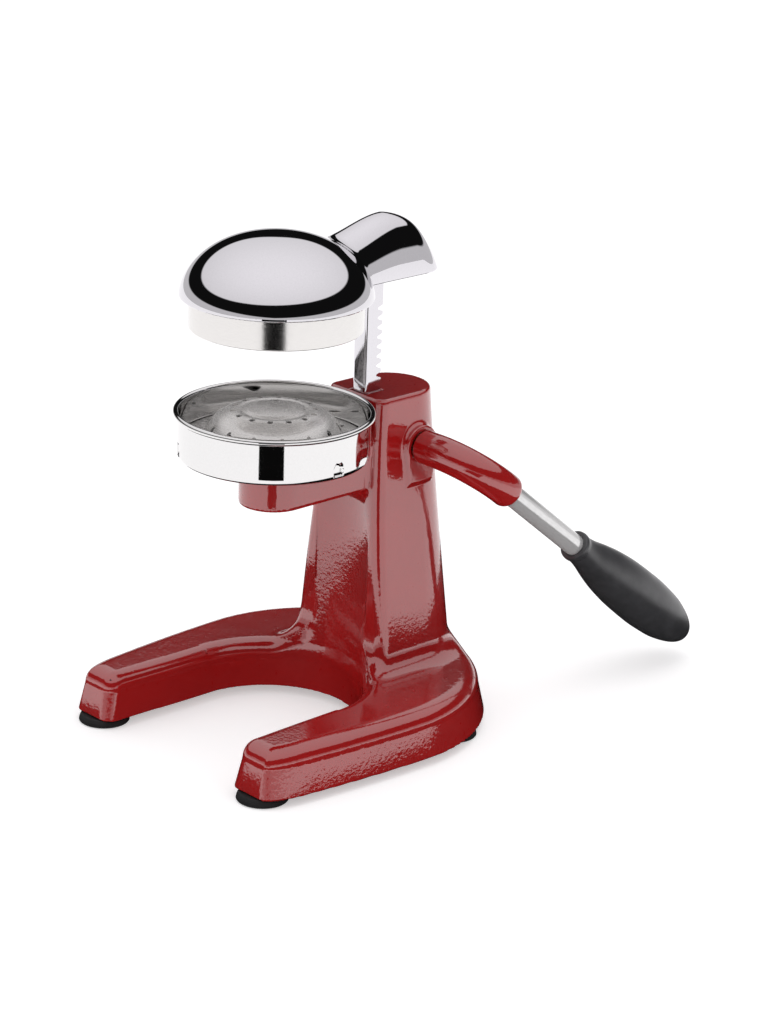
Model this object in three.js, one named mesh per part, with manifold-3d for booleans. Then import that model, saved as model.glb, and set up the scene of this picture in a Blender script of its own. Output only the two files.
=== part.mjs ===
// Lever citrus press: a cast horseshoe frame, a rack-driven press head and a hand lever.
// Millimetres, +Z up, +X towards the lever's side, -Y towards the user. Every piece is drawn
// about the upright axis of the juice funnel, with the table at z = 0; the finished group is
// then moved so that the middle of its footprint is the origin.
import * as THREE from "three";
import { mergeVertices } from "three/addons/utils/BufferGeometryUtils.js";
import Module from "manifold-3d";

const wasm = await Module();
wasm.setup();

// ---------- driving dimensions ----------

const GAP = 0.3; // clearance between two pieces that rest against each other
const RUNNING = 0.08; // radial clearance of the shaft in its bushes

// Plan from front to back: the juice funnel stands on the origin, the tower behind its rim
const FUNNEL_RADIUS = 60.2; // outer radius of the funnel's wall
const RIM_LIP = 2.8; // how far the rolled rim stands out from the wall
const FUNNEL_RIM = FUNNEL_RADIUS + RIM_LIP;
const TOWER_CLEAR = 3.5; // between the rim and the tower
const TOWER_FRONT_Y = FUNNEL_RIM + TOWER_CLEAR; // flat front of the tower at its top
const TOWER_AXIS_Y = TOWER_FRONT_Y + 31.5; // centre of the round back, and of the pinion
const TOWER_BACK_Y = TOWER_AXIS_Y + 26; // round back at the top

// Horseshoe base
const BASE_RADIUS = 108.5; // outer plan radius behind the tower
const BASE_CENTRE_Y = TOWER_AXIS_Y - 56; // centre of that radius
const BASE_FRONT_Y = -84; // front ends of the two arms
const BASE_TOP_Z = 35.5; // flat top of the arms
const ARM_OUTER_X = 101.5; // outer edge of an arm just behind its front corner
const ARM_CORNER_Y = -48; // where the outer front corner begins
const ARM_FRONT_X = 88; // outer end of the flat front end of an arm
const ARM_INNER_CORNER = 9; // inner front corner
const INNER_RADIUS = 57.5; // inner U of the horseshoe, about the funnel axis
const INNER_LEG_X = 59.5; // inner edge of an arm at its front
const EDGE_ROUND = 11; // rounding of the upper edges
const SIDE_DRAFT = 4.5; // inward lean of the sides up to the rounding
const CASTING_WALL = 5; // wall of the hollow casting

// Feet
const FOOT_RADIUS = 16.3;
const FOOT_HEIGHT = 5;
const FRONT_FOOT = { x: 77.4, y: BASE_FRONT_Y + 12 };
const REAR_FOOT = { x: 80, y: TOWER_AXIS_Y - 12 };
const FOOT_SCREW_RADIUS = 2.5;
const FOOT_SCREW_LENGTH = 20;
const FOOT_HEAD_RADIUS = 4.8;
const FOOT_HEAD_HEIGHT = 2;
const FOOT_POST_RADIUS = 9; // cast post that takes the foot's screw
const BASE_BOTTOM_Z = FOOT_HEIGHT + GAP;

// Tower
const TOWER_TOP_Z = 212.7;
const TOWER_HALF = 25.5; // half width at the top
const TOWER_CORNER = 7; // rounding of the two front edges
const TOWER_ROOF = 6; // thickness of the closed top
const PANEL_HALF = 24; // concave front panel between the two front pillars
const PANEL_CORNER = 11; // rounding of its upper corners

// Funnel bracket, the tongue that carries the juice funnel
const BRACKET_RADIUS = 21.5;
const BRACKET_TOP_Z = 184.2;
const BRACKET_DEPTH = 30.2; // height of the tongue
const BRACKET_BOTTOM_Z = BRACKET_TOP_Z - BRACKET_DEPTH;

// Lever boss on the tower
const SHAFT_Z = 179; // height of the pinion axis
const BOSS_RADIUS = 13.4;
const BOSS_FACE_X = 32; // outer faces of the two bosses
const BOSS_SKIRT = 24; // how far the sides of a boss run down the wall

// Rack and pinion
const MODULE = 2; // tooth module
const PINION_TEETH = 16;
const PRESSURE_ANGLE = THREE.MathUtils.degToRad(20);
const RACK_ADDENDUM = 0.9 * MODULE;
const DEDENDUM = 1.3 * MODULE;
const BACKLASH = 0.3; // play between the flanks
const PITCH = Math.PI * MODULE;
const PITCH_RADIUS = (MODULE * PINION_TEETH) / 2;
const RACK_PITCH_Y = TOWER_AXIS_Y - PITCH_RADIUS; // pitch line of the rack
const RACK_TIP_Y = RACK_PITCH_Y + RACK_ADDENDUM;
const PINION_WIDTH = 14;
const HUB_RADIUS = 11.5; // plain hubs on both sides of the pinion's teeth
const HUB_WIDTH = 28;
const RACK_HALF = 6.5; // half width across the teeth
const RACK_FRONT_Y = TOWER_FRONT_Y + 4;
const RACK_CORNER = 2.5;
const GAPS_ABOVE = 14; // tooth gaps above the pinion axis when the head is up
const GAPS_BELOW = 6;
const RACK_BOTTOM_Z = SHAFT_Z - (GAPS_BELOW + 1) * PITCH - 4;
const HEAD_TRAVEL = 70; // stroke of the press head
const KEY_SIZE = 3;
const STOP_PIN_RADIUS = 2.2;
const GUIDE_HALF = 12; // half width of the cast guide around the rack
const GUIDE_DEPTH = 12; // how far its cheeks reach back beside the rack

// Pinion shaft
const SHAFT_RADIUS = 6;
const BUSH_RADIUS = 9;
const BUSH_FLANGE_RADIUS = 11;
const BUSH_FLANGE = 2;
const NUT_RADIUS = 9.8; // over the corners
const NUT_HEIGHT = 9;
const WASHER_RADIUS = 12;
const WASHER_HEIGHT = 1.8;

// Lever
const LEVER_X = 80; // plane that the lever turns in
const LEVER_DROP = THREE.MathUtils.degToRad(38.4); // below the horizontal at rest, rearwards
const ELBOW_RADIUS = 11; // section of the cast elbow
const ELBOW_BEND = 35; // bend radius of its centre line
const ELBOW_LENGTH = 41; // from the shaft axis to its end face, along the lever
const ELBOW_ROUND = 5; // rounded edge of that end
const SHAFT_SOCKET = 20; // depth of the shaft in the elbow
const TUBE_RADIUS = 7.2;
const TUBE_WALL = 1.5;
const TUBE_SOCKET = 18; // depth of the tube in the elbow
const GRIP_START = 120;
const GRIP_LENGTH = 146.5;
const GRIP_RADIUS = 18.2;
const GRIP_BORE_DEPTH = 66;
const HUB_SCREW_RADIUS = 2.5;

// Juice funnel
const RIM_ROLL = 1.9; // half height of the roll
const FUNNEL_BOTTOM_Z = BRACKET_TOP_Z + GAP;
const FUNNEL_HEIGHT = 30.3;
const FUNNEL_TOP_Z = FUNNEL_BOTTOM_Z + FUNNEL_HEIGHT;
const FUNNEL_SHEET = 1.2;
const NECK_RADIUS = 15.4; // drain neck through the bracket
const NECK_LENGTH = 28;
const BRACKET_BORE = NECK_RADIUS + GAP + 0.4;
const LEDGE_COUNT = 3; // pressed ledges that carry the strainer, the first one on the right
const LEDGE_HEIGHT = 10.5;
const LEDGE_DEPTH = 2.6;
const LEDGE_WIDTH = 7;

// Strainer
const STRAINER_RADIUS = FUNNEL_RADIUS - FUNNEL_SHEET - 0.8;
const STRAINER_Z = FUNNEL_BOTTOM_Z + LEDGE_HEIGHT + GAP; // underside of the flange
const STRAINER_SHEET = 1.2;
const FLANGE_WIDTH = 14.2; // flat ring around the dome, with the outermost holes
const DOME_RADIUS = STRAINER_RADIUS - FLANGE_WIDTH; // foot of the dome
const DOME_HEIGHT = 21.6;
const HOLE_RADIUS = 1.9;
const HOLE_TURN = -0.82; // a hole of each of the upper rings lies in this direction
const HOLE_RINGS = [
  { radius: 7.5, count: 2, turn: HOLE_TURN },
  { radius: 15.5, count: 4, turn: HOLE_TURN },
  { radius: DOME_RADIUS - 18.3, count: 14, turn: HOLE_TURN },
  { radius: DOME_RADIUS - 4, count: 14, turn: HOLE_TURN + Math.PI / 14 },
  { radius: DOME_RADIUS + 6.5, count: 14, turn: HOLE_TURN },
];

// Press head
const CUP_RADIUS = 54.2; // brushed skirt
const CUP_BOTTOM_Z = 268;
const CUP_WALL = 2.4;
const CUP_CLEAR = 5; // between the cup and the strainer dome when the head is down
const CAP_RADIUS = 60.2;
const CAP_BASE_Z = 287.2; // where the cap's curve is upright
const CAP_HEIGHT = 39.7;
const CAP_WALL = 4;
const CAP_RIM_Z = CAP_BASE_Z + 1.6; // lower edge
const ARM_HALF = 19.5; // half width of the arm over the rack
const ARM_END_Y = TOWER_AXIS_Y + 31.2;
const RACK_SEAT = 18; // depth of the rack in the head
const CLAMP_HALF = 12; // block in the arm that holds the rack
const CROSS_PIN_RADIUS = 2;
const CUP_SCREW_RADIUS = 3;
const CUP_SCREW_LENGTH = 18;
const POST_RADIUS = 8; // post inside the cap that the cup hangs from

const ROUND = 36; // sides of the large turned pieces
const SMALL = 14; // sides of the small ones

// ---------- materials ----------

const finish = (color, roughness, metalness) => () =>
  new THREE.MeshStandardMaterial({ color, roughness, metalness });
const enamel = finish(0x9c1418, 0.18, 0);
const chrome = finish(0xd9dbde, 0.08, 1);
const satin = finish(0xc4c2bd, 0.35, 1);
const steel = finish(0x9fa2a6, 0.3, 1);
const bronze = finish(0xa97c45, 0.4, 1);
const rubber = finish(0x17171a, 0.85, 0);
const grip = finish(0x1c1c1f, 0.6, 0);

// ---------- solids ----------

// A closed geometry as a manifold solid, shared vertices merged.
function solid(geometry) {
  const bare = geometry.index ? geometry.toNonIndexed() : geometry.clone();
  bare.deleteAttribute("normal");
  bare.deleteAttribute("uv");
  const merged = mergeVertices(bare, 1e-4);
  return new wasm.Manifold(
    new wasm.Mesh({
      numProp: 3,
      vertProperties: merged.attributes.position.array,
      triVerts: new Uint32Array(merged.index.array),
    }),
  );
}

function geometryOf(shape) {
  const mesh = shape.getMesh();
  const geometry = new THREE.BufferGeometry();
  geometry.setAttribute("position", new THREE.BufferAttribute(mesh.vertProperties, 3));
  geometry.setIndex(new THREE.BufferAttribute(mesh.triVerts, 1));
  geometry.computeVertexNormals();
  return geometry;
}

// Turns a closed profile of [radius, z] pairs about Z.
function turned(profile, sides = ROUND) {
  const points = profile.map(([radius, z]) => new THREE.Vector2(radius, z));
  const geometry = new THREE.LatheGeometry(points, sides);
  return geometry.rotateX(Math.PI / 2);
}

// A cylinder about Z from z0 to z1.
function cylinder(radius, z0, z1, sides = SMALL) {
  const geometry = new THREE.CylinderGeometry(radius, radius, z1 - z0, sides);
  return geometry.rotateX(Math.PI / 2).translate(0, 0, (z0 + z1) / 2);
}

// A cylinder about an axis parallel to X, from x0 to x1, through (y, z).
function crossPin(radius, x0, x1, y, z, sides = SMALL) {
  return cylinder(radius, x0, x1, sides).rotateY(Math.PI / 2).translate(0, y, z);
}

function box(x0, x1, y0, y1, z0, z1) {
  const geometry = new THREE.BoxGeometry(x1 - x0, y1 - y0, z1 - z0);
  return geometry.translate((x0 + x1) / 2, (y0 + y1) / 2, (z0 + z1) / 2);
}

// Extrudes a plan shape up Z from z0 to z1.
function raised(shape, z0, z1, curveSegments = 12) {
  const options = { depth: z1 - z0, bevelEnabled: false, curveSegments };
  return new THREE.ExtrudeGeometry(shape, options).translate(0, 0, z0);
}

// Extrudes a plan shape through a list of levels: every corner of layer k is carried to
// place(x, y, levels[k]), and to the height levels[k].z.
function lofted(shape, levels, place, curveSegments = 12) {
  const steps = levels.length - 1;
  const options = { depth: steps, steps, bevelEnabled: false, curveSegments };
  const geometry = new THREE.ExtrudeGeometry(shape, options);
  const position = geometry.attributes.position;
  for (let i = 0; i < position.count; i++) {
    const level = levels[Math.round(position.getZ(i))];
    const [x, y] = place(position.getX(i), position.getY(i), level);
    position.setXYZ(i, x, y, level.z);
  }
  return geometry;
}

const arc = (x, y, radius, from, to, clockwise) => ({ x, y, radius, from, to, clockwise });

// A plan shape from points [x, y] and arcs, in order.
function planShape(steps) {
  const shape = new THREE.Shape();
  steps.forEach((step, i) => {
    if (step.radius) {
      shape.absarc(step.x, step.y, step.radius, step.from, step.to, step.clockwise);
    } else if (i === 0) {
      shape.moveTo(step[0], step[1]);
    } else {
      shape.lineTo(step[0], step[1]);
    }
  });
  return shape;
}

function mesh(name, geometry, material) {
  const node = new THREE.Mesh(geometry, material());
  node.name = name;
  return node;
}

// ---------- frame casting ----------

// Plan of the horseshoe, moved inside the nominal outline by outset on the outer side and the
// ends, and by inset on the inner U.
function horseshoe(outset, inset) {
  const outer = BASE_RADIUS - outset;
  const inner = INNER_RADIUS + inset;
  const leg = INNER_LEG_X + inset;
  const front = BASE_FRONT_Y + outset;
  const corner = ARM_INNER_CORNER - inset / 3;
  const side = ARM_OUTER_X - outset;
  const tip = ARM_FRONT_X - outset * 0.8;
  const shape = new THREE.Shape();
  shape.moveTo(leg + corner, front);
  shape.lineTo(tip, front);
  shape.quadraticCurveTo(side - 3, front + 3, side, ARM_CORNER_Y);
  shape.quadraticCurveTo(outer - 1, 0, outer, BASE_CENTRE_Y);
  shape.absarc(0, BASE_CENTRE_Y, outer, 0, Math.PI, false);
  shape.quadraticCurveTo(1 - outer, 0, -side, ARM_CORNER_Y);
  shape.quadraticCurveTo(3 - side, front + 3, -tip, front);
  shape.lineTo(-leg - corner, front);
  shape.quadraticCurveTo(-leg, front, -leg, front + corner);
  shape.quadraticCurveTo(-inner, -20, -inner, 0);
  shape.absarc(0, 0, inner, Math.PI, 0, true);
  shape.quadraticCurveTo(inner, -20, leg, front + corner);
  shape.quadraticCurveTo(leg, front, leg + corner, front);
  return shape;
}

// A drafted horseshoe from z0 to z1, a wall inside the nominal one. Its upper edge is rounded in
// the given number of steps, and each curve of its plan has curve points.
function horseshoeBody(z0, z1, round, wall, steps, curve) {
  const levels = [{ z: z0, lean: 0 }];
  for (let i = 0; i <= steps; i++) {
    const angle = (i / steps) * (Math.PI / 2);
    levels.push({
      z: z1 - round + round * Math.sin(angle),
      lean: SIDE_DRAFT + round * (1 - Math.cos(angle)),
    });
  }
  for (const level of levels) {
    level.plan = horseshoe(wall + level.lean, wall + level.lean / 2).getPoints(curve).slice(0, -1);
  }
  const first = levels[0].plan;
  const key = (x, y) => Math.fround(x) + "," + Math.fround(y);
  const indexOf = new Map(first.map((point, i) => [key(point.x, point.y), i]));
  const place = (x, y, level) => level.plan[indexOf.get(key(x, y))].toArray();
  return solid(lofted(new THREE.Shape(first), levels, place));
}

// Half width, front and back of the tower from the flare into the base up to its top.
const TOWER_LEVELS = [
  { z: BASE_TOP_Z - 6, half: 62, front: TOWER_FRONT_Y - 7.9, back: TOWER_AXIS_Y + 49 },
  { z: BASE_TOP_Z - 0.5, half: 58, front: TOWER_FRONT_Y - 7.9, back: TOWER_AXIS_Y + 48 },
  { z: BASE_TOP_Z + 2.5, half: 51, front: TOWER_FRONT_Y - 7.7, back: TOWER_AXIS_Y + 46.5 },
  { z: BASE_TOP_Z + 7.5, half: 45.5, front: TOWER_FRONT_Y - 7.7, back: TOWER_AXIS_Y + 44.6 },
  { z: BASE_TOP_Z + 16.5, half: 41.8, front: TOWER_FRONT_Y - 7.5, back: TOWER_AXIS_Y + 43 },
  { z: 82, half: 37.6, front: TOWER_FRONT_Y - 7.1, back: TOWER_AXIS_Y + 39.8 },
  { z: 118, half: 34, front: TOWER_FRONT_Y - 6.6, back: TOWER_AXIS_Y + 35.5 },
  { z: BRACKET_BOTTOM_Z - 4, half: 31.2, front: TOWER_FRONT_Y - 5.7, back: TOWER_AXIS_Y + 31.8 },
  { z: BRACKET_TOP_Z, half: 28, front: TOWER_FRONT_Y - 2, back: TOWER_AXIS_Y + 28.6 },
  { z: TOWER_TOP_Z - 1.5, half: TOWER_HALF + 0.3, front: TOWER_FRONT_Y, back: TOWER_BACK_Y },
  { z: TOWER_TOP_Z, half: TOWER_HALF - 1, front: TOWER_FRONT_Y + 1, back: TOWER_BACK_Y - 1 },
];

// D-shaped plan of the tower at its top, front edges rounded.
function towerPlan() {
  const half = TOWER_HALF;
  const front = TOWER_FRONT_Y + TOWER_CORNER;
  const corner = half - TOWER_CORNER;
  return planShape([
    [-corner, TOWER_FRONT_Y],
    arc(corner, front, TOWER_CORNER, -Math.PI / 2, 0, false),
    arc(0, TOWER_AXIS_Y, half, 0, Math.PI, false),
    arc(-corner, front, TOWER_CORNER, Math.PI, 1.5 * Math.PI, false),
  ]);
}

// Carries a point of the top plan to a level's half width, front and back.
function towerPlace(x, y, { half, front, back }) {
  const reach = y < TOWER_AXIS_Y
    ? (TOWER_AXIS_Y - front) / (TOWER_AXIS_Y - TOWER_FRONT_Y)
    : (back - TOWER_AXIS_Y) / TOWER_HALF;
  return [(x * half) / TOWER_HALF, TOWER_AXIS_Y + (y - TOWER_AXIS_Y) * reach];
}

// The hollow of the tower, open at the bottom and closed by the roof. Its front face stands
// clear of the concave panel, just in front of the rack.
function towerHollow() {
  const front = RACK_FRONT_Y - 1.5;
  const last = TOWER_LEVELS.at(-2);
  const levels = [
    { ...TOWER_LEVELS[0], z: BASE_BOTTOM_Z - 5 },
    ...TOWER_LEVELS.slice(3, -2),
    { ...last, z: TOWER_TOP_Z - TOWER_ROOF },
  ].map(({ z, half, back }) => ({
    z,
    half: half - CASTING_WALL,
    front: Math.max(front, z > BRACKET_TOP_Z - 1 ? RACK_FRONT_Y + 0.5 : front),
    back: back - CASTING_WALL,
  }));
  return solid(lofted(towerPlan(), levels, towerPlace, 5));
}

// Cast guide inside the tower, in front of the rack and on both sides of it, before the
// rack's channel is cut.
function rackGuide() {
  const bottom = RACK_BOTTOM_Z + 10;
  const top = TOWER_TOP_Z - TOWER_ROOF + 1;
  const block = box(
    -GUIDE_HALF, GUIDE_HALF, TOWER_FRONT_Y + 1.5, RACK_FRONT_Y + GUIDE_DEPTH, bottom, top,
  );
  const pinionRoom = crossPin(PITCH_RADIUS + MODULE + 1, -PINION_WIDTH, PINION_WIDTH, TOWER_AXIS_Y, SHAFT_Z, 32);
  return solid(block).subtract(solid(pinionRoom));
}

// Tongue under the funnel, running back into the tower with a rounded fillet below.
function bracketBody() {
  const back = TOWER_FRONT_Y + 2;
  const fillet = PANEL_CORNER;
  const plan = planShape([
    [BRACKET_RADIUS, back],
    [-BRACKET_RADIUS, back],
    arc(0, 0, BRACKET_RADIUS, Math.PI, 2 * Math.PI, false),
  ]);
  const tongue = solid(raised(plan, BRACKET_BOTTOM_Z - fillet, BRACKET_TOP_Z, 12));
  const wallY = TOWER_FRONT_Y - 4;
  const side = planShape([
    [-BRACKET_RADIUS - 5, BRACKET_BOTTOM_Z - fillet - 5],
    [wallY, BRACKET_BOTTOM_Z - fillet - 5],
    arc(wallY - fillet, BRACKET_BOTTOM_Z - fillet, fillet, 0, Math.PI / 2, false),
    [-BRACKET_RADIUS - 5, BRACKET_BOTTOM_Z],
  ]);
  const half = BRACKET_RADIUS + 5;
  const below = raised(side, -half, half, 6).rotateX(Math.PI / 2).rotateZ(Math.PI / 2);
  return tongue.subtract(solid(below));
}

// Concave panel between the front pillars: the inner U carried up the tower to the bracket,
// about the funnel axis.
function panelCut() {
  const foot = BASE_BOTTOM_Z - 1;
  const top = BRACKET_BOTTOM_Z - 1;
  const well = turned([
    [0, foot],
    [INNER_RADIUS, foot],
    [INNER_RADIUS + 2.4, BASE_TOP_Z],
    [INNER_RADIUS + 5.5, 75],
    [INNER_RADIUS + 6, 110],
    [INNER_RADIUS + 4.5, top],
    [0, top],
  ], 56);
  const arch = planShape([
    [-PANEL_HALF, foot - 1],
    [PANEL_HALF, foot - 1],
    arc(PANEL_HALF - PANEL_CORNER - 2, top - PANEL_CORNER, PANEL_CORNER, 0, Math.PI / 2, false),
    arc(PANEL_CORNER + 2 - PANEL_HALF, top - PANEL_CORNER, PANEL_CORNER, Math.PI / 2, Math.PI, false),
  ]);
  const front = raised(arch, 0, 2 * INNER_RADIUS, 4).rotateX(Math.PI / 2);
  return solid(well).intersect(solid(front.translate(0, 2 * INNER_RADIUS, 0)));
}

// The bosses of the lever shaft, their sides running down into the wall.
function bossBody() {
  const outline = planShape([
    arc(0, 0, BOSS_RADIUS, 0, Math.PI, false),
    [-BOSS_RADIUS + 3, -BOSS_SKIRT],
    [BOSS_RADIUS - 3, -BOSS_SKIRT],
  ]);
  const geometry = raised(outline, -BOSS_FACE_X, BOSS_FACE_X, 7);
  geometry.rotateX(Math.PI / 2).rotateZ(Math.PI / 2);
  return solid(geometry.translate(0, TOWER_AXIS_Y, SHAFT_Z));
}

const FEET = [
  { name: "front_left", x: -FRONT_FOOT.x, y: FRONT_FOOT.y },
  { name: "front_right", x: FRONT_FOOT.x, y: FRONT_FOOT.y },
  { name: "rear_left", x: -REAR_FOOT.x, y: REAR_FOOT.y },
  { name: "rear_right", x: REAR_FOOT.x, y: REAR_FOOT.y },
];

// The hollow under the arms, with a post left standing over each foot.
function baseHollow() {
  const roof = BASE_TOP_Z - CASTING_WALL;
  let hollow = horseshoeBody(BASE_BOTTOM_Z - 5, roof, EDGE_ROUND - 3, CASTING_WALL, 2, 4);
  hollow = hollow.add(towerHollow());
  for (const { x, y } of FEET) {
    const post = cylinder(FOOT_POST_RADIUS, BASE_BOTTOM_Z - 6, BASE_TOP_Z - 2);
    hollow = hollow.subtract(solid(post.translate(x, y, 0)));
  }
  return hollow;
}

// Every hole through the finished casting.
function frameHoles() {
  const channel = box(
    -RACK_HALF - GAP, RACK_HALF + GAP, RACK_FRONT_Y - GAP, RACK_TIP_Y + 1,
    RACK_BOTTOM_Z, TOWER_TOP_Z + 5,
  );
  const drain = cylinder(BRACKET_BORE, BRACKET_BOTTOM_Z - 20, BRACKET_TOP_Z + 5, 32);
  const bores = crossPin(
    BUSH_RADIUS + GAP, -BOSS_FACE_X - 5, BOSS_FACE_X + 5, TOWER_AXIS_Y, SHAFT_Z, 24,
  );
  const screwTop = FOOT_HEAD_HEIGHT + FOOT_SCREW_LENGTH + 2;
  const screws = FEET.map(({ x, y }) =>
    cylinder(FOOT_SCREW_RADIUS + GAP, -1, screwTop, 12).translate(x, y, 0),
  );
  return [channel, drain, bores, ...screws].map(solid);
}

function frameCasting() {
  let body = horseshoeBody(BASE_BOTTOM_Z, BASE_TOP_Z, EDGE_ROUND, 0, 3, 6);
  body = body.add(solid(lofted(towerPlan(), TOWER_LEVELS, towerPlace, 7)));
  body = body.subtract(panelCut()).add(bossBody()).add(bracketBody());
  body = body.subtract(baseHollow()).add(rackGuide());
  for (const hole of frameHoles()) {
    body = body.subtract(hole);
  }
  return mesh("frame_casting", geometryOf(body), enamel);
}

// ---------- feet ----------

function rubberFoot({ name, x, y }) {
  const bore = FOOT_SCREW_RADIUS + GAP;
  const recess = FOOT_HEAD_RADIUS + GAP;
  const profile = [
    [recess, 0],
    [FOOT_RADIUS - 0.6, 0],
    [FOOT_RADIUS, 0.9],
    [FOOT_RADIUS - 2.2, FOOT_HEIGHT * 0.5],
    [FOOT_RADIUS - 5, FOOT_HEIGHT],
    [bore, FOOT_HEIGHT],
    [bore, FOOT_HEAD_HEIGHT + 0.8],
    [recess, FOOT_HEAD_HEIGHT + 0.8],
    [recess, 0],
  ];
  return mesh("foot_" + name, turned(profile, 20).translate(x, y, 0), rubber);
}

function footScrew({ name, x, y }) {
  const head = FOOT_HEAD_HEIGHT + 0.5;
  const profile = [
    [0, 0.5],
    [FOOT_HEAD_RADIUS, 0.5],
    [FOOT_HEAD_RADIUS, head],
    [FOOT_SCREW_RADIUS, head],
    [FOOT_SCREW_RADIUS, head + FOOT_SCREW_LENGTH],
    [0, head + FOOT_SCREW_LENGTH],
  ];
  return mesh("foot_screw_" + name, turned(profile, 10).translate(x, y, 0), steel);
}

// ---------- juice funnel and strainer ----------

function juiceFunnel() {
  const z = FUNNEL_BOTTOM_Z;
  const wall = FUNNEL_RADIUS;
  const sheet = FUNNEL_SHEET;
  const roll = FUNNEL_TOP_Z - RIM_ROLL;
  const profile = [
    [NECK_RADIUS, z - NECK_LENGTH],
    [NECK_RADIUS, z],
    [wall - 1.8, z + 0.3],
    [wall, z + 2],
    [wall, roll - 1.2],
    [FUNNEL_RIM, roll],
    [FUNNEL_RIM - 0.6, FUNNEL_TOP_Z - 0.5],
    [FUNNEL_RIM - 1.6, FUNNEL_TOP_Z],
    [wall - sheet + 0.4, FUNNEL_TOP_Z - 0.5],
    [wall - sheet, roll],
    [wall - sheet, z + 3.4],
    [wall - 3, z + 0.3 + sheet],
    [NECK_RADIUS + 1, z + sheet],
    [NECK_RADIUS - sheet, z + 0.4],
    [NECK_RADIUS - sheet, z - NECK_LENGTH],
    [NECK_RADIUS, z - NECK_LENGTH],
  ];
  let body = solid(turned(profile, 40));
  for (let i = 0; i < LEDGE_COUNT; i++) {
    const turn = (i * 2 * Math.PI) / LEDGE_COUNT;
    const reach = wall - sheet - LEDGE_DEPTH;
    const ledge = box(
      reach, wall - sheet / 2, -LEDGE_WIDTH / 2, LEDGE_WIDTH / 2, z + sheet / 2, z + LEDGE_HEIGHT,
    );
    const dent = box(
      wall - sheet * 0.6, wall + 2, 1 - LEDGE_WIDTH / 2, LEDGE_WIDTH / 2 - 1,
      z + 4, z + LEDGE_HEIGHT - 1.5,
    );
    ledge.rotateZ(turn);
    dent.rotateZ(turn);
    body = body.add(solid(ledge)).subtract(solid(dent));
  }
  return mesh("juice_funnel", geometryOf(body), chrome);
}

// Upper surface of the strainer from its edge to the middle: radius, and height over the flange.
const STRAINER_CURVE = [
  [STRAINER_RADIUS, 1.2],
  [DOME_RADIUS + 10, 1.2],
  [DOME_RADIUS + 2.5, 0.6],
  [DOME_RADIUS, 2.2],
  [DOME_RADIUS - 1.4, DOME_HEIGHT * 0.28],
  [DOME_RADIUS - 4, DOME_HEIGHT * 0.51],
  [DOME_RADIUS - 8.5, DOME_HEIGHT * 0.73],
  [DOME_RADIUS - 15, DOME_HEIGHT * 0.88],
  [24, DOME_HEIGHT * 0.925],
  [20, DOME_HEIGHT * 0.91],
  [17.5, DOME_HEIGHT * 0.955],
  [9, DOME_HEIGHT * 0.987],
  [0, DOME_HEIGHT],
];

function strainer() {
  const above = STRAINER_CURVE.map(([radius, rise]) => [radius, STRAINER_Z + rise]);
  const below = STRAINER_CURVE.map(([radius, rise]) => {
    const inset = radius > 2 && radius < DOME_RADIUS + 1 ? STRAINER_SHEET * 0.6 : 0;
    return [radius - inset, STRAINER_Z + rise - STRAINER_SHEET];
  });
  let body = solid(turned([...below.reverse(), ...above], 28));
  for (const { radius, count, turn } of HOLE_RINGS) {
    for (let i = 0; i < count; i++) {
      const angle = turn + (i / count) * 2 * Math.PI;
      const hole = cylinder(HOLE_RADIUS, STRAINER_Z - 5, STRAINER_Z + DOME_HEIGHT + 5, 6);
      hole.translate(radius * Math.cos(angle), radius * Math.sin(angle), 0);
      body = body.subtract(solid(hole));
    }
  }
  return mesh("strainer", geometryOf(body), satin);
}

// ---------- press head ----------

// Inner surface of the cup: the strainer's dome, raised by the stroke and the room for peel.
function cupInside() {
  const lift = STRAINER_Z + HEAD_TRAVEL + CUP_CLEAR;
  const rim = CUP_RADIUS - CUP_WALL;
  const dome = STRAINER_CURVE.slice(4).map(([radius, rise]) => {
    const spread = radius * (1 + (rim - DOME_RADIUS - 1.5) / DOME_RADIUS);
    return [spread, lift + rise];
  });
  return [[rim, CUP_BOTTOM_Z], [rim - 0.4, CUP_BOTTOM_Z + 5], ...dome];
}

function pressCup() {
  const inside = cupInside();
  const top = inside.at(-1)[1] + CUP_WALL;
  const shoulder = CUP_BOTTOM_Z + 22.5;
  const bore = CUP_SCREW_RADIUS + GAP;
  const outside = [
    [bore, top],
    [POST_RADIUS + 4, top],
    [CUP_RADIUS * 0.62, top - 1.8],
    [CUP_RADIUS - 7, shoulder + 0.6],
    [CUP_RADIUS, shoulder],
    [CUP_RADIUS, CUP_BOTTOM_Z + 0.6],
    [CUP_RADIUS - 0.6, CUP_BOTTOM_Z],
  ];
  const inner = inside.slice(0, -1).concat([[bore, inside.at(-1)[1]]]);
  const profile = [...inner, ...outside, inner[0]].reverse();
  return mesh("press_cup", turned(profile), satin);
}

function cupScrew() {
  const seat = cupInside().at(-1)[1] - GAP;
  const profile = [
    [0, seat - 2.6],
    [CUP_SCREW_RADIUS * 1.4, seat - 2.6],
    [CUP_SCREW_RADIUS * 1.8, seat - 1.4],
    [CUP_SCREW_RADIUS * 1.8, seat],
    [CUP_SCREW_RADIUS, seat],
    [CUP_SCREW_RADIUS, seat + CUP_SCREW_LENGTH],
    [0, seat + CUP_SCREW_LENGTH],
  ];
  return mesh("press_cup_screw", turned(profile, SMALL), steel);
}

// The cap's curve: radius and height, from its upright edge to the middle, inside by a wall.
function capCurve(wall, count) {
  const curve = [];
  for (let i = 0; i <= count; i++) {
    const t = Math.cos((i / count) * (Math.PI / 2)) ** 0.8;
    const rise = (CAP_HEIGHT - wall) * (1 - t ** 2.2) ** (1 / 1.8);
    curve.push([(CAP_RADIUS - wall) * t, CAP_BASE_Z + rise]);
  }
  curve[count][0] = 0;
  return curve;
}

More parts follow.
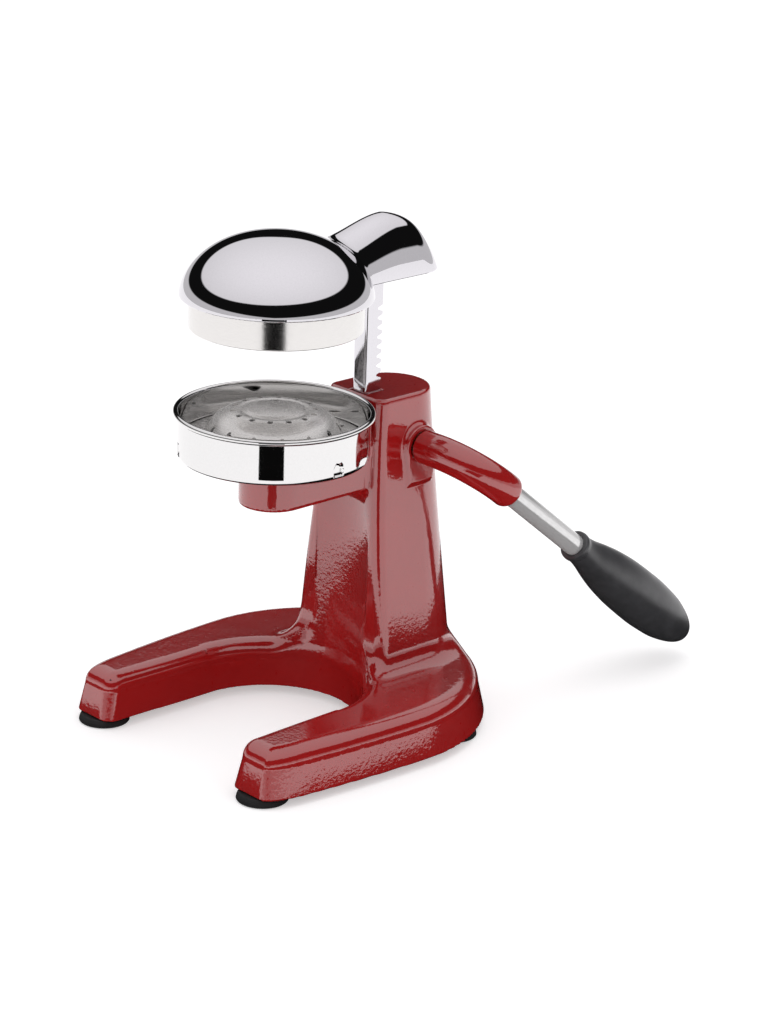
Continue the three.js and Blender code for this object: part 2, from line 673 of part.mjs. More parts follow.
function capBody(wall, bottom) {
  const curve = capCurve(wall, wall ? 5 : 9).filter(([, z]) => z > bottom + 0.3);
  return solid(turned([[0, bottom], [CAP_RADIUS - wall, bottom], ...curve], wall ? 28 : 40));
}

// Half width and end of the arm at rising heights.
const ARM_LEVELS = [
  { z: CAP_BASE_Z + 0.3, half: ARM_HALF, end: ARM_END_Y },
  { z: CAP_BASE_Z + 12.7, half: ARM_HALF - 0.6, end: ARM_END_Y - 5.6 },
  { z: CAP_BASE_Z + 20.5, half: ARM_HALF - 2.2, end: ARM_END_Y - 10.4 },
  { z: CAP_BASE_Z + 26.5, half: ARM_HALF - 4.6, end: ARM_END_Y - 15.6 },
  { z: CAP_BASE_Z + 31.5, half: ARM_HALF - 7.8, end: ARM_END_Y - 21.6 },
  { z: CAP_BASE_Z + 35.5, half: ARM_HALF - 11.2, end: ARM_END_Y - 28.5 },
  { z: CAP_BASE_Z + 38.6, half: ARM_HALF - 15, end: ARM_END_Y - 37 },
];

// The arm from inside the cap back over the rack, its far end round and falling away.
function armBody(wall, start) {
  const round = ARM_END_Y - ARM_HALF;
  const plan = planShape([
    [-ARM_HALF, start],
    [ARM_HALF, start],
    arc(0, round, ARM_HALF, 0, Math.PI, false),
  ]);
  const place = (x, y, level) => {
    const back = y <= start ? y : start + ((y - start) * (level.end - wall - start)) / (ARM_END_Y - start);
    return [(x * (level.half - wall)) / ARM_HALF, back];
  };
  const levels = wall ? ARM_LEVELS.slice(0, -1) : ARM_LEVELS;
  return solid(lofted(plan, levels.map((level) => ({ ...level, z: level.z - wall * 1.2 })), place, wall ? 5 : 9));
}

function headCover() {
  const clampTop = CAP_RIM_Z + RACK_SEAT + 4;
  let body = capBody(0, CAP_RIM_Z).add(armBody(0, 30));
  const hollowCap = capBody(CAP_WALL, CAP_RIM_Z - 3);
  const hollowArm = armBody(CAP_WALL, CAP_RADIUS - 2);
  body = body.subtract(hollowCap.add(hollowArm));
  const seat = cupInside().at(-1)[1] + CUP_WALL + GAP;
  const post = solid(cylinder(POST_RADIUS, seat, CAP_BASE_Z + CAP_HEIGHT - 3, 20));
  const clamp = solid(
    box(-CLAMP_HALF, CLAMP_HALF, CAP_RADIUS + 1, RACK_TIP_Y + 6, ARM_LEVELS[0].z, clampTop + 8),
  );
  body = body.add(post).add(clamp.intersect(armBody(0, 30)));
  const rackSeat = box(
    -RACK_HALF - GAP, RACK_HALF + GAP, RACK_FRONT_Y - GAP, RACK_TIP_Y + GAP,
    CAP_RIM_Z - 10, CAP_RIM_Z + RACK_SEAT + GAP,
  );
  const tapped = cylinder(CUP_SCREW_RADIUS + GAP, seat - 5, seat + CUP_SCREW_LENGTH, 12);
  body = body.subtract(solid(rackSeat)).subtract(solid(tapped));
  for (const z of crossPinHeights()) {
    const hole = crossPin(CROSS_PIN_RADIUS + GAP, -CLAMP_HALF - 1, CLAMP_HALF + 1, crossPinY(), z, 12);
    body = body.subtract(solid(hole));
  }
  return mesh("head_cover", geometryOf(body), chrome);
}

const crossPinHeights = () => [CAP_RIM_Z + RACK_SEAT * 0.3, CAP_RIM_Z + RACK_SEAT * 0.72];
const crossPinY = () => (RACK_FRONT_Y + RACK_TIP_Y) / 2;

function crossPins() {
  return crossPinHeights().map((z, i) => {
    const pin = crossPin(CROSS_PIN_RADIUS, -CLAMP_HALF, CLAMP_HALF, crossPinY(), z, 12);
    return mesh("rack_cross_pin_" + ["lower", "upper"][i], pin, steel);
  });
}

// ---------- rack ----------

// Side profile of the rack in (y, z): plain front, teeth cut into the rear face.
function rackProfile() {
  const top = CAP_RIM_Z + RACK_SEAT;
  const slope = Math.tan(PRESSURE_ANGLE);
  const tip = PITCH / 4 + RACK_ADDENDUM * slope + BACKLASH / 4;
  const root = PITCH / 4 - DEDENDUM * slope + BACKLASH / 4;
  const rootY = RACK_PITCH_Y - DEDENDUM;
  const points = [[RACK_FRONT_Y, RACK_BOTTOM_Z], [RACK_TIP_Y, RACK_BOTTOM_Z]];
  for (let k = -GAPS_BELOW; k <= GAPS_ABOVE; k++) {
    const z = SHAFT_Z + k * PITCH;
    points.push([RACK_TIP_Y, z - tip], [rootY, z - root], [rootY, z + root], [RACK_TIP_Y, z + tip]);
  }
  points.push([RACK_TIP_Y, top], [RACK_FRONT_Y, top]);
  return planShape(points);
}

const stopPinZ = () => RACK_BOTTOM_Z + 6;
const stopPinY = () => RACK_FRONT_Y + 4.5;

function rackBar() {
  const toothed = raised(rackProfile(), -RACK_HALF, RACK_HALF);
  toothed.rotateX(Math.PI / 2).rotateZ(Math.PI / 2);
  const corner = RACK_HALF - RACK_CORNER;
  const front = RACK_FRONT_Y + RACK_CORNER;
  const plan = planShape([
    [-corner, RACK_FRONT_Y],
    arc(corner, front, RACK_CORNER, -Math.PI / 2, 0, false),
    [RACK_HALF, RACK_TIP_Y + 1],
    [-RACK_HALF, RACK_TIP_Y + 1],
    arc(-corner, front, RACK_CORNER, Math.PI, 1.5 * Math.PI, false),
  ]);
  const bar = solid(raised(plan, RACK_BOTTOM_Z - 1, CAP_RIM_Z + RACK_SEAT + 1, 3));
  let body = solid(toothed).intersect(bar);
  const holes = crossPinHeights().map((z) =>
    crossPin(CROSS_PIN_RADIUS + GAP, -RACK_HALF - 1, RACK_HALF + 1, crossPinY(), z, 12),
  );
  holes.push(
    crossPin(STOP_PIN_RADIUS + GAP, -RACK_HALF - 1, RACK_HALF + 1, stopPinY(), stopPinZ(), 12),
  );
  for (const hole of holes) {
    body = body.subtract(solid(hole));
  }
  return mesh("rack_bar", geometryOf(body), chrome);
}

function stopPin() {
  const reach = GUIDE_HALF - 1;
  const pin = crossPin(STOP_PIN_RADIUS, -reach, reach, stopPinY(), stopPinZ(), 12);
  return mesh("rack_stop_pin", pin, steel);
}

// ---------- pinion, shaft and lever ----------

const involute = (angle) => Math.tan(angle) - angle;

// Outline of the pinion about the origin, one tooth centred on the -Y direction.
function pinionOutline() {
  const base = PITCH_RADIUS * Math.cos(PRESSURE_ANGLE);
  const tip = PITCH_RADIUS + MODULE;
  const root = PITCH_RADIUS - DEDENDUM;
  const half = PITCH / 4 / PITCH_RADIUS - BACKLASH / 4 / PITCH_RADIUS + involute(PRESSURE_ANGLE);
  const flank = [[root, half + 0.04], [base, half]];
  for (let i = 1; i <= 3; i++) {
    const radius = base + ((tip - base) * i) / 3;
    flank.push([radius, half - involute(Math.acos(base / radius))]);
  }
  const shape = new THREE.Shape();
  for (let tooth = 0; tooth < PINION_TEETH; tooth++) {
    const middle = -Math.PI / 2 + (tooth / PINION_TEETH) * 2 * Math.PI;
    const sides = [
      ...flank.map(([radius, angle]) => [radius, middle - angle]),
      ...flank.toReversed().map(([radius, angle]) => [radius, middle + angle]),
    ];
    sides.forEach(([radius, angle], i) => {
      const x = radius * Math.cos(angle);
      const y = radius * Math.sin(angle);
      if (tooth === 0 && i === 0) {
        shape.moveTo(x, y);
      } else {
        shape.lineTo(x, y);
      }
    });
  }
  return shape;
}

// The outline lies in (y, z): its own X becomes Y and its own Y becomes Z, turned so that a
// tooth points at the rack.
function pinion() {
  const teeth = raised(pinionOutline(), -PINION_WIDTH / 2, PINION_WIDTH / 2);
  teeth.rotateZ(-Math.PI / 2).rotateX(Math.PI / 2).rotateZ(Math.PI / 2);
  teeth.translate(0, TOWER_AXIS_Y, SHAFT_Z);
  const hub = crossPin(HUB_RADIUS, -HUB_WIDTH / 2, HUB_WIDTH / 2, TOWER_AXIS_Y, SHAFT_Z, 24);
  const bore = crossPin(SHAFT_RADIUS + GAP, -HUB_WIDTH, HUB_WIDTH, TOWER_AXIS_Y, SHAFT_Z, 24);
  const body = solid(teeth).add(solid(hub)).subtract(solid(bore)).subtract(keyRoom(GAP));
  return mesh("pinion", geometryOf(body), steel);
}

// The key lies half in the shaft and half in the pinion, on the upper side.
function keyBox(grow) {
  const z = SHAFT_Z + SHAFT_RADIUS;
  const half = KEY_SIZE / 2 + grow;
  const length = HUB_WIDTH / 2 - 3 + grow;
  return box(-length, length, TOWER_AXIS_Y - half, TOWER_AXIS_Y + half, z - half, z + half);
}

const keyRoom = (grow) => solid(keyBox(grow));
const pinionKey = () => mesh("pinion_key", keyBox(0), steel);

const farEndX = () => -BOSS_FACE_X - GAP - WASHER_HEIGHT - GAP;
const elbowStartX = () => BOSS_FACE_X + 0.8;

function shaft() {
  const start = farEndX() - NUT_HEIGHT + 3;
  const end = elbowStartX() + SHAFT_SOCKET;
  const bar = crossPin(SHAFT_RADIUS, start, end, TOWER_AXIS_Y, SHAFT_Z, 24);
  return mesh("pinion_shaft", geometryOf(solid(bar).subtract(keyRoom(GAP))), steel);
}

// A flanged bush in each side wall, the flange inside the tower.
function bush(name, side) {
  const inner = HUB_WIDTH / 2 + 2 * GAP;
  const bore = SHAFT_RADIUS + RUNNING;
  const profile = [
    [bore, inner],
    [BUSH_FLANGE_RADIUS, inner],
    [BUSH_FLANGE_RADIUS, inner + BUSH_FLANGE],
    [BUSH_RADIUS, inner + BUSH_FLANGE],
    [BUSH_RADIUS, BOSS_FACE_X - 0.5],
    [bore, BOSS_FACE_X - 0.5],
    [bore, inner],
  ];
  const geometry = turned(profile, 24).rotateY((side * Math.PI) / 2);
  return mesh("shaft_bush_" + name, geometry.translate(0, TOWER_AXIS_Y, SHAFT_Z), bronze);
}

function washer() {
  const hole = SHAFT_RADIUS + GAP;
  const profile = [
    [hole, 0],
    [WASHER_RADIUS, 0],
    [WASHER_RADIUS, WASHER_HEIGHT],
    [hole, WASHER_HEIGHT],
    [hole, 0],
  ];
  const x = -BOSS_FACE_X - GAP - WASHER_HEIGHT;
  const geometry = turned(profile, 24).rotateY(Math.PI / 2);
  return mesh("shaft_washer", geometry.translate(x, TOWER_AXIS_Y, SHAFT_Z), steel);
}

// Domed hexagon nut on the far end of the shaft.
function domeNut() {
  const hexagon = new THREE.CylinderGeometry(NUT_RADIUS, NUT_RADIUS, NUT_HEIGHT, 6);
  hexagon.rotateZ(Math.PI / 2).translate(-NUT_HEIGHT / 2, 0, 0);
  const dome = turned([
    [0, 0],
    [NUT_RADIUS * 0.8, 0],
    [NUT_RADIUS * 0.66, NUT_RADIUS * 0.42],
    [NUT_RADIUS * 0.36, NUT_RADIUS * 0.68],
    [0, NUT_RADIUS * 0.76],
  ], 20);
  dome.rotateY(-Math.PI / 2).translate(0.5 - NUT_HEIGHT, 0, 0);
  const hole = crossPin(SHAFT_RADIUS + GAP, -NUT_HEIGHT + 2.4, 2, 0, 0, 20);
  const body = solid(hexagon).add(solid(dome)).subtract(solid(hole));
  const geometry = geometryOf(body).translate(farEndX(), TOWER_AXIS_Y, SHAFT_Z);
  return mesh("shaft_nut", geometry, chrome);
}

// A point of the lever, a distance from the shaft axis and across by x.
const leverAlong = new THREE.Vector3(0, Math.cos(LEVER_DROP), -Math.sin(LEVER_DROP));
const leverFoot = new THREE.Vector3(LEVER_X, TOWER_AXIS_Y, SHAFT_Z);
const leverPoint = (distance) => leverAlong.clone().multiplyScalar(distance).add(leverFoot);

// Turns a piece drawn about Z on to the lever, its Z along the lever from the shaft axis.
function onLever(geometry) {
  const turn = new THREE.Quaternion().setFromUnitVectors(new THREE.Vector3(0, 0, 1), leverAlong);
  return geometry.applyQuaternion(turn).translate(leverFoot.x, leverFoot.y, leverFoot.z);
}

// Centre line of the elbow: along X from the boss, round a bend, then along the lever.
function elbowPath() {
  const start = new THREE.Vector3(elbowStartX(), TOWER_AXIS_Y, SHAFT_Z);
  const bendStart = new THREE.Vector3(LEVER_X - ELBOW_BEND, TOWER_AXIS_Y, SHAFT_Z);
  const bendEnd = leverPoint(ELBOW_BEND);
  const handle = 0.5523 * ELBOW_BEND;
  const towardsBend = bendStart.clone().setX(bendStart.x + handle);
  const path = new THREE.CurvePath();
  path.add(new THREE.LineCurve3(start, bendStart));
  path.add(
    new THREE.CubicBezierCurve3(
      bendStart, towardsBend, leverPoint(ELBOW_BEND - handle), bendEnd,
    ),
  );
  path.add(new THREE.LineCurve3(bendEnd, leverPoint(ELBOW_LENGTH - ELBOW_ROUND)));
  return path;
}

function leverElbow() {
  const section = new THREE.Shape();
  section.absarc(0, 0, ELBOW_RADIUS, 0, 2 * Math.PI, false);
  const options = { steps: 14, bevelEnabled: false, curveSegments: 10, extrudePath: elbowPath() };
  const bar = new THREE.ExtrudeGeometry(section, options);
  const end = [[0, ELBOW_LENGTH - 2 * ELBOW_ROUND], [ELBOW_RADIUS - 0.05, ELBOW_LENGTH - 2 * ELBOW_ROUND]];
  for (let i = 0; i <= 4; i++) {
    const angle = (i / 4) * (Math.PI / 2);
    const radius = ELBOW_RADIUS - 0.05 - ELBOW_ROUND * (1 - Math.cos(angle));
    end.push([radius, ELBOW_LENGTH - ELBOW_ROUND + ELBOW_ROUND * Math.sin(angle)]);
  }
  end.push([0, ELBOW_LENGTH]);
  const shaftRoom = crossPin(
    SHAFT_RADIUS + GAP, 0, elbowStartX() + SHAFT_SOCKET + GAP, TOWER_AXIS_Y, SHAFT_Z, 20,
  );
  const tubeRoom = cylinder(
    TUBE_RADIUS + GAP, ELBOW_LENGTH - TUBE_SOCKET - GAP, ELBOW_LENGTH + 5, 20,
  );
  const body = solid(bar)
    .add(solid(onLever(turned(end, 20))))
    .subtract(solid(shaftRoom))
    .subtract(solid(onLever(tubeRoom)))
    .subtract(solid(hubScrewBar(GAP, 5)));
  return mesh("lever_elbow", geometryOf(body), enamel);
}

// Set screw through the underside of the elbow on to the shaft.
function hubScrewBar(grow, extra) {
  const top = SHAFT_Z - SHAFT_RADIUS - GAP;
  const bottom = SHAFT_Z - ELBOW_RADIUS + 0.6;
  const bar = cylinder(HUB_SCREW_RADIUS + grow, bottom - extra, top + extra * 0.2, 12);
  return bar.translate(elbowStartX() + 6, TOWER_AXIS_Y, 0);
}

function leverTube() {
  const start = ELBOW_LENGTH - TUBE_SOCKET;
  const end = GRIP_START + GRIP_BORE_DEPTH - GAP;
  const bore = TUBE_RADIUS - TUBE_WALL;
  const profile = [
    [bore, start],
    [TUBE_RADIUS, start],
    [TUBE_RADIUS, end],
    [bore, end],
    [bore, start],
  ];
  return mesh("lever_tube", onLever(turned(profile, 24)), chrome);
}

// Distance from the collar and radius, as shares of the grip's length and greatest radius.
const GRIP_CURVE = [
  [0.024, 0.571],
  [0.048, 0.544],
  [0.11, 0.6],
  [0.19, 0.736],
  [0.28, 0.863],
  [0.375, 0.945],
  [0.455, 0.984],
  [0.55, 1],
  [0.63, 1],
  [0.71, 0.962],
  [0.785, 0.907],
  [0.865, 0.77],
  [0.932, 0.594],
  [0.974, 0.385],
  [1, 0],
];

function leverGrip() {
  const bore = TUBE_RADIUS + GAP;
  const curve = GRIP_CURVE.map(([along, out]) => [
    out * GRIP_RADIUS,
    GRIP_START + along * GRIP_LENGTH,
  ]);
  const profile = [
    [0, GRIP_START + GRIP_BORE_DEPTH],
    [bore, GRIP_START + GRIP_BORE_DEPTH],
    [bore, GRIP_START],
    [GRIP_RADIUS * 0.5, GRIP_START],
    [GRIP_RADIUS * 0.56, GRIP_START + 1],
    ...curve,
  ];
  return mesh("lever_grip", onLever(turned(profile, 24)), grip);
}

// ---------- the press ----------

const press = new THREE.Group();

const fixed = new THREE.Group();
fixed.add(frameCasting(), ...FEET.map(rubberFoot), ...FEET.map(footScrew));
fixed.add(juiceFunnel(), strainer(), bush("right", 1), bush("left", -1));

const head = new THREE.Group();
head.add(headCover(), pressCup(), cupScrew(), rackBar(), ...crossPins(), stopPin());

const lever = new THREE.Group();
lever.add(pinion(), pinionKey(), shaft(), washer(), domeNut());
lever.add(leverElbow(), mesh("hub_set_screw", hubScrewBar(0, 0), steel), leverTube(), leverGrip());

press.add(fixed, head, lever);

// The origin is the middle of the footprint, on the table.
const bounds = new THREE.Box3().setFromObject(press, true);
const middle = bounds.getCenter(new THREE.Vector3());
press.position.set(-middle.x, -middle.y, -bounds.min.z);

export default press;
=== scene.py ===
"""Looks of a lever citrus press: a red enamelled casting with a rack-driven press head.

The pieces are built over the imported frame. Shapes are worked out in millimetres about the funnel's
axis, with Z up, and turned into metres in the row frame."""

import math

import bmesh  # noqa: E402
import bpy  # noqa: E402
import numpy as np  # noqa: E402
from mathutils import Matrix, Vector  # noqa: E402


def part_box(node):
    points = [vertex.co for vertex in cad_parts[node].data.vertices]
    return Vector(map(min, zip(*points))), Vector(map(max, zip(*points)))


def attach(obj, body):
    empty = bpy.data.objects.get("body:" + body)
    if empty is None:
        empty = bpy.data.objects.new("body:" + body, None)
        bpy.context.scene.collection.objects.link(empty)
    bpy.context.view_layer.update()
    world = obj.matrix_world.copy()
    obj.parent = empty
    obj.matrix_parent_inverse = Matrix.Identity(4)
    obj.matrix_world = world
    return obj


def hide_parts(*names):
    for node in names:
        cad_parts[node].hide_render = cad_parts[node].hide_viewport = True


bl_info = {
    "name": "Lever citrus press",
    "version": (1, 0, 0),
    "blender": (4, 5, 0),
    "location": "3D View > Sidebar > Press",
    "description": "Builds the finished pieces of a lever citrus press over its CAD frame",
    "category": "Object",
}

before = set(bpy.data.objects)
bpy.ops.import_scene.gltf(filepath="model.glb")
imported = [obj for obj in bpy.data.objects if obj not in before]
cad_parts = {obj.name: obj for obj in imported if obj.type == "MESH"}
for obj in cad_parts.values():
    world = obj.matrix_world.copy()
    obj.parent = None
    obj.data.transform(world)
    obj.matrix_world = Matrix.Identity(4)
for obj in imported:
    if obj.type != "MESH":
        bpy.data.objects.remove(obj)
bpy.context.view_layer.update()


def box_mm(node):
    """Lowest and highest corner of a CAD node, in millimetres of the row frame."""
    low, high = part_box(node)
    return np.array(low) * 1000, np.array(high) * 1000


FUNNEL_LOW, FUNNEL_HIGH = box_mm("juice_funnel")
AXIS = np.array([0.0, (FUNNEL_LOW[1] + FUNNEL_HIGH[1]) / 2, 0.0])  # funnel axis in the row frame


def about_axis(node):
    """A node's corners about the funnel's axis."""
    low, high = box_mm(node)
    return low - AXIS, high - AXIS


CASTING_LOW, CASTING_HIGH = about_axis("frame_casting")
SHAFT_LOW, SHAFT_HIGH = about_axis("pinion_shaft")
RACK_LOW, RACK_HIGH = about_axis("rack_bar")
COVER_LOW, COVER_HIGH = about_axis("head_cover")
CUP_LOW, CUP_HIGH = about_axis("press_cup")
STRAINER_LOW, STRAINER_HIGH = about_axis("strainer")
SHAFT_Y = (SHAFT_LOW[1] + SHAFT_HIGH[1]) / 2
SHAFT_Z = (SHAFT_LOW[2] + SHAFT_HIGH[2]) / 2
LEVER_X = 80.0
LEVER_DROP = math.radians(38.4)
LEVER_ALONG = np.array([0.0, math.cos(LEVER_DROP), -math.sin(LEVER_DROP)])
LEVER_ACROSS = np.cross([1.0, 0.0, 0.0], LEVER_ALONG)
LEVER_FOOT = np.array([LEVER_X, SHAFT_Y, SHAFT_Z])
FEET = ("front_left", "front_right", "rear_left", "rear_right")
MM = 0.001  # metres in a millimetre
ONLY_REFLECTED = ("camera", "diffuse", "shadow")  # kinds of ray that miss a stage sheet
BUSH_BORE = 6.3  # room for the shaft in the elbow, the washer and the nut
FULL_TURN = 2 * math.pi

# Where the camera stands, and the two level directions of its view.
VIEW_TURN, VIEW_RISE, VIEW_ROLL = (math.radians(v) for v in (46.3, 19.7, 1.9))
VIEW_PLACE = (1.3757, -1.32816, 0.8071)
VIEW_AHEAD = Vector((math.sin(VIEW_TURN), -math.cos(VIEW_TURN), 0))
VIEW_ACROSS = Vector((math.cos(VIEW_TURN), math.sin(VIEW_TURN), 0))


# ---------- sizes and colours ----------


def size(name, description, default):
    return bpy.props.FloatProperty(name=name, description=description, default=default)


def colour(name, description, default):
    return bpy.props.FloatVectorProperty(
        name=name, description=description, default=default, size=3, min=0, max=1, subtype="COLOR"
    )


class CastingSizes(bpy.types.PropertyGroup):
    """Sizes of the enamelled casting, in millimetres."""

    skin_step: size("Skin step", "Spacing of the casting's skin", 1.55)
    edge_round: size("Edge rounding", "Rounding of the base's upper edges", 11.0)
    tower_fillet: size("Tower fillet", "Fillet between tower and base", 13.0)
    panel_half: size("Panel half width", "Half the width of the concave front panel", 24.0)
    wall: size("Wall", "Wall of the hollow casting", 5.0)


class HeadSizes(bpy.types.PropertyGroup):
    """Sizes of the press head, in millimetres."""

    skin_step: size("Skin step", "Spacing of the cover's skin", 1.2)
    neck_fillet: size("Neck fillet", "Fillet between cap and arm", 5.0)
    neck_rise: size("Neck rise", "Height of the arm's ridge over the rim at the neck", 29.5)
    wall: size("Wall", "Wall of the cover", 4.0)


class FunnelSizes(bpy.types.PropertyGroup):
    """Sizes of the juice funnel and the strainer, in millimetres."""

    sheet: size("Sheet", "Thickness of the steel sheet", 1.2)
    dent_depth: size("Dent depth", "Depth of the pressed dents", 2.2)
    hole: size("Hole radius", "Radius of the strainer's holes", 1.9)


class FinishColours(bpy.types.PropertyGroup):
    """Colours and gloss of the finishes."""

    enamel: colour("Enamel", "Deep red of the enamel", (0.36, 0.0055, 0.0055))
    chrome: colour("Chrome", "Tint of the chromed castings", (0.74, 0.725, 0.755))
    steel: colour("Polished steel", "Tint of the funnel", (0.8, 0.795, 0.79))
    satin: colour("Satin steel", "Tint of the strainer and the cup", (0.66, 0.645, 0.63))
    grip: colour("Grip", "Black of the moulded grip", (0.011, 0.011, 0.012))
    rubber: colour("Rubber", "Black of the rubber feet", (0.009, 0.009, 0.0095))
    bronze: colour("Bronze", "Colour of the bushes", (0.46, 0.25, 0.09))


class PressSettings(bpy.types.PropertyGroup):
    """All settings of the press."""

    casting: bpy.props.PointerProperty(type=CastingSizes, name="Casting")
    head: bpy.props.PointerProperty(type=HeadSizes, name="Head")
    funnel: bpy.props.PointerProperty(type=FunnelSizes, name="Funnel")
    finish: bpy.props.PointerProperty(type=FinishColours, name="Finishes")


def settings():
    return bpy.context.scene.citrus_press


# ---------- meshes ----------


def new_piece(name, points, faces, material, sharp=None, normals=None):
    """A mesh object from points in millimetres about the funnel's axis."""
    mesh = bpy.data.meshes.new(name)
    world = (np.asarray(points, float) + AXIS) * MM
    mesh.from_pydata(world.tolist(), [], faces if isinstance(faces, list) else faces.tolist())
    mesh.polygons.foreach_set("use_smooth", np.ones(len(mesh.polygons), bool))
    if sharp is not None:
        mesh.set_sharp_from_angle(angle=math.radians(sharp))
    mesh.materials.append(material)
    mesh.update()
    if normals is not None:
        mesh.normals_split_custom_set_from_vertices(normals.tolist())
    piece = bpy.data.objects.new(name, mesh)
    bpy.context.scene.collection.objects.link(piece)
    return piece


def place(piece, body, slot, *nodes):
    """Hands a finished piece to its body and hides the CAD nodes it stands for; slot is not used."""
    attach(piece, body)
    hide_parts(*nodes)
    return piece


def rounded(points, radius, steps=5, closed=False):
    """A line of (r, z) points with its corners rounded, by one radius or one for each point."""
    points = [np.array(p, float) for p in points]
    radii = radius if hasattr(radius, "__len__") else [radius] * len(points)
    out = []
    for i, point in enumerate(points):
        before, after = points[i - 1], points[(i + 1) % len(points)]
        ends = not closed and i in (0, len(points) - 1)
        into, onward = point - before, after - point
        a, b = np.linalg.norm(into), np.linalg.norm(onward)
        if ends or radii[i] <= 0 or min(a, b) < 1e-6:
            out.append(point)
            continue
        into, onward = into / a, onward / b
        turn = math.acos(max(-1, min(1, float(into @ onward))))
        if turn < 0.05:
            out.append(point)
            continue
        reach = min(radii[i] * math.tan(turn / 2), 0.48 * a, 0.48 * b)
        start, end = point - into * reach, point + onward * reach
        for k in range(steps + 1):
            t = k / steps
            out.append((1 - t) ** 2 * start + 2 * t * (1 - t) * point + t * t * end)
    return out


def smooth_curve(points, per_span=6):
    """A Catmull-Rom curve through points."""
    p = np.array(points, float)
    p = np.vstack([2 * p[0] - p[1], p, 2 * p[-1] - p[-2]])
    out = []
    for i in range(1, len(p) - 2):
        for k in range(per_span):
            t = k / per_span
            out.append(
                0.5
                * (
                    2 * p[i]
                    + (p[i + 1] - p[i - 1]) * t
                    + (2 * p[i - 1] - 5 * p[i] + 4 * p[i + 1] - p[i + 2]) * t**2
                    + (3 * p[i] - p[i - 1] - 3 * p[i + 1] + p[i + 2]) * t**3
                )
            )
    out.append(p[-2])
    return out


def turned(profile, sides=160, closed=True, shift=None):
    """Points and faces of a profile of (r, z) turned about Z. Points on the axis become poles."""
    profile = [np.array(p, float) for p in profile]
    angles = np.arange(sides) * FULL_TURN / sides
    points, rows, faces = [], [], []
    for r, z in profile:
        if r < 1e-6:
            rows.append([len(points)])
            points.append((0.0, 0.0, z))
            continue
        rows.append(list(range(len(points), len(points) + sides)))
        reach = np.full(sides, r) if shift is None else r + shift(r, z, angles)
        height = np.full(sides, z)
        points.extend(zip(reach * np.cos(angles), reach * np.sin(angles), height))
    spans = list(zip(rows, rows[1:] + rows[:1])) if closed else list(zip(rows, rows[1:]))
    for lower, upper in spans:
        if len(lower) == 1 and len(upper) == 1:
            continue
        for i in range(sides):
            j = (i + 1) % sides
            if len(lower) == 1:
                faces.append((lower[0], upper[j], upper[i]))
            elif len(upper) == 1:
                faces.append((lower[i], lower[j], upper[0]))
            else:
                faces.append((lower[i], lower[j], upper[j], upper[i]))
    return np.array(points, float), faces


def smoothed(piece, angle):
    """Shades a piece smooth up to an angle between its faces."""
    piece.data.polygons.foreach_set("use_smooth", np.ones(len(piece.data.polygons), bool))
    piece.data.set_sharp_from_angle(angle=math.radians(angle))


def outward(piece):
    """Turns all faces outwards."""
    work = bmesh.new()
    work.from_mesh(piece.data)
    bmesh.ops.recalc_face_normals(work, faces=work.faces)
    work.to_mesh(piece.data)
    work.free()
    return piece


def on_lever(points):
    """Points drawn about Z moved on to the lever, their Z along it from the shaft's axis."""
    p = np.asarray(points, float)
    return (
        LEVER_FOOT
        + p[:, :1] * np.array([1.0, 0.0, 0.0])
        + p[:, 1:2] * LEVER_ACROSS
        + p[:, 2:] * LEVER_ALONG
    )


# ---------- skins of blended solids ----------


def round_union(a, b, r):
    """Union of two distance fields with a fillet of radius r."""
    return np.maximum(r, np.minimum(a, b)) - np.hypot(np.maximum(r - a, 0), np.maximum(r - b, 0))


def round_meet(a, b, r):
    """Common part of two distance fields with its edge rounded to radius r."""
    return np.minimum(-r, np.maximum(a, b)) + np.hypot(np.maximum(a + r, 0), np.maximum(b + r, 0))


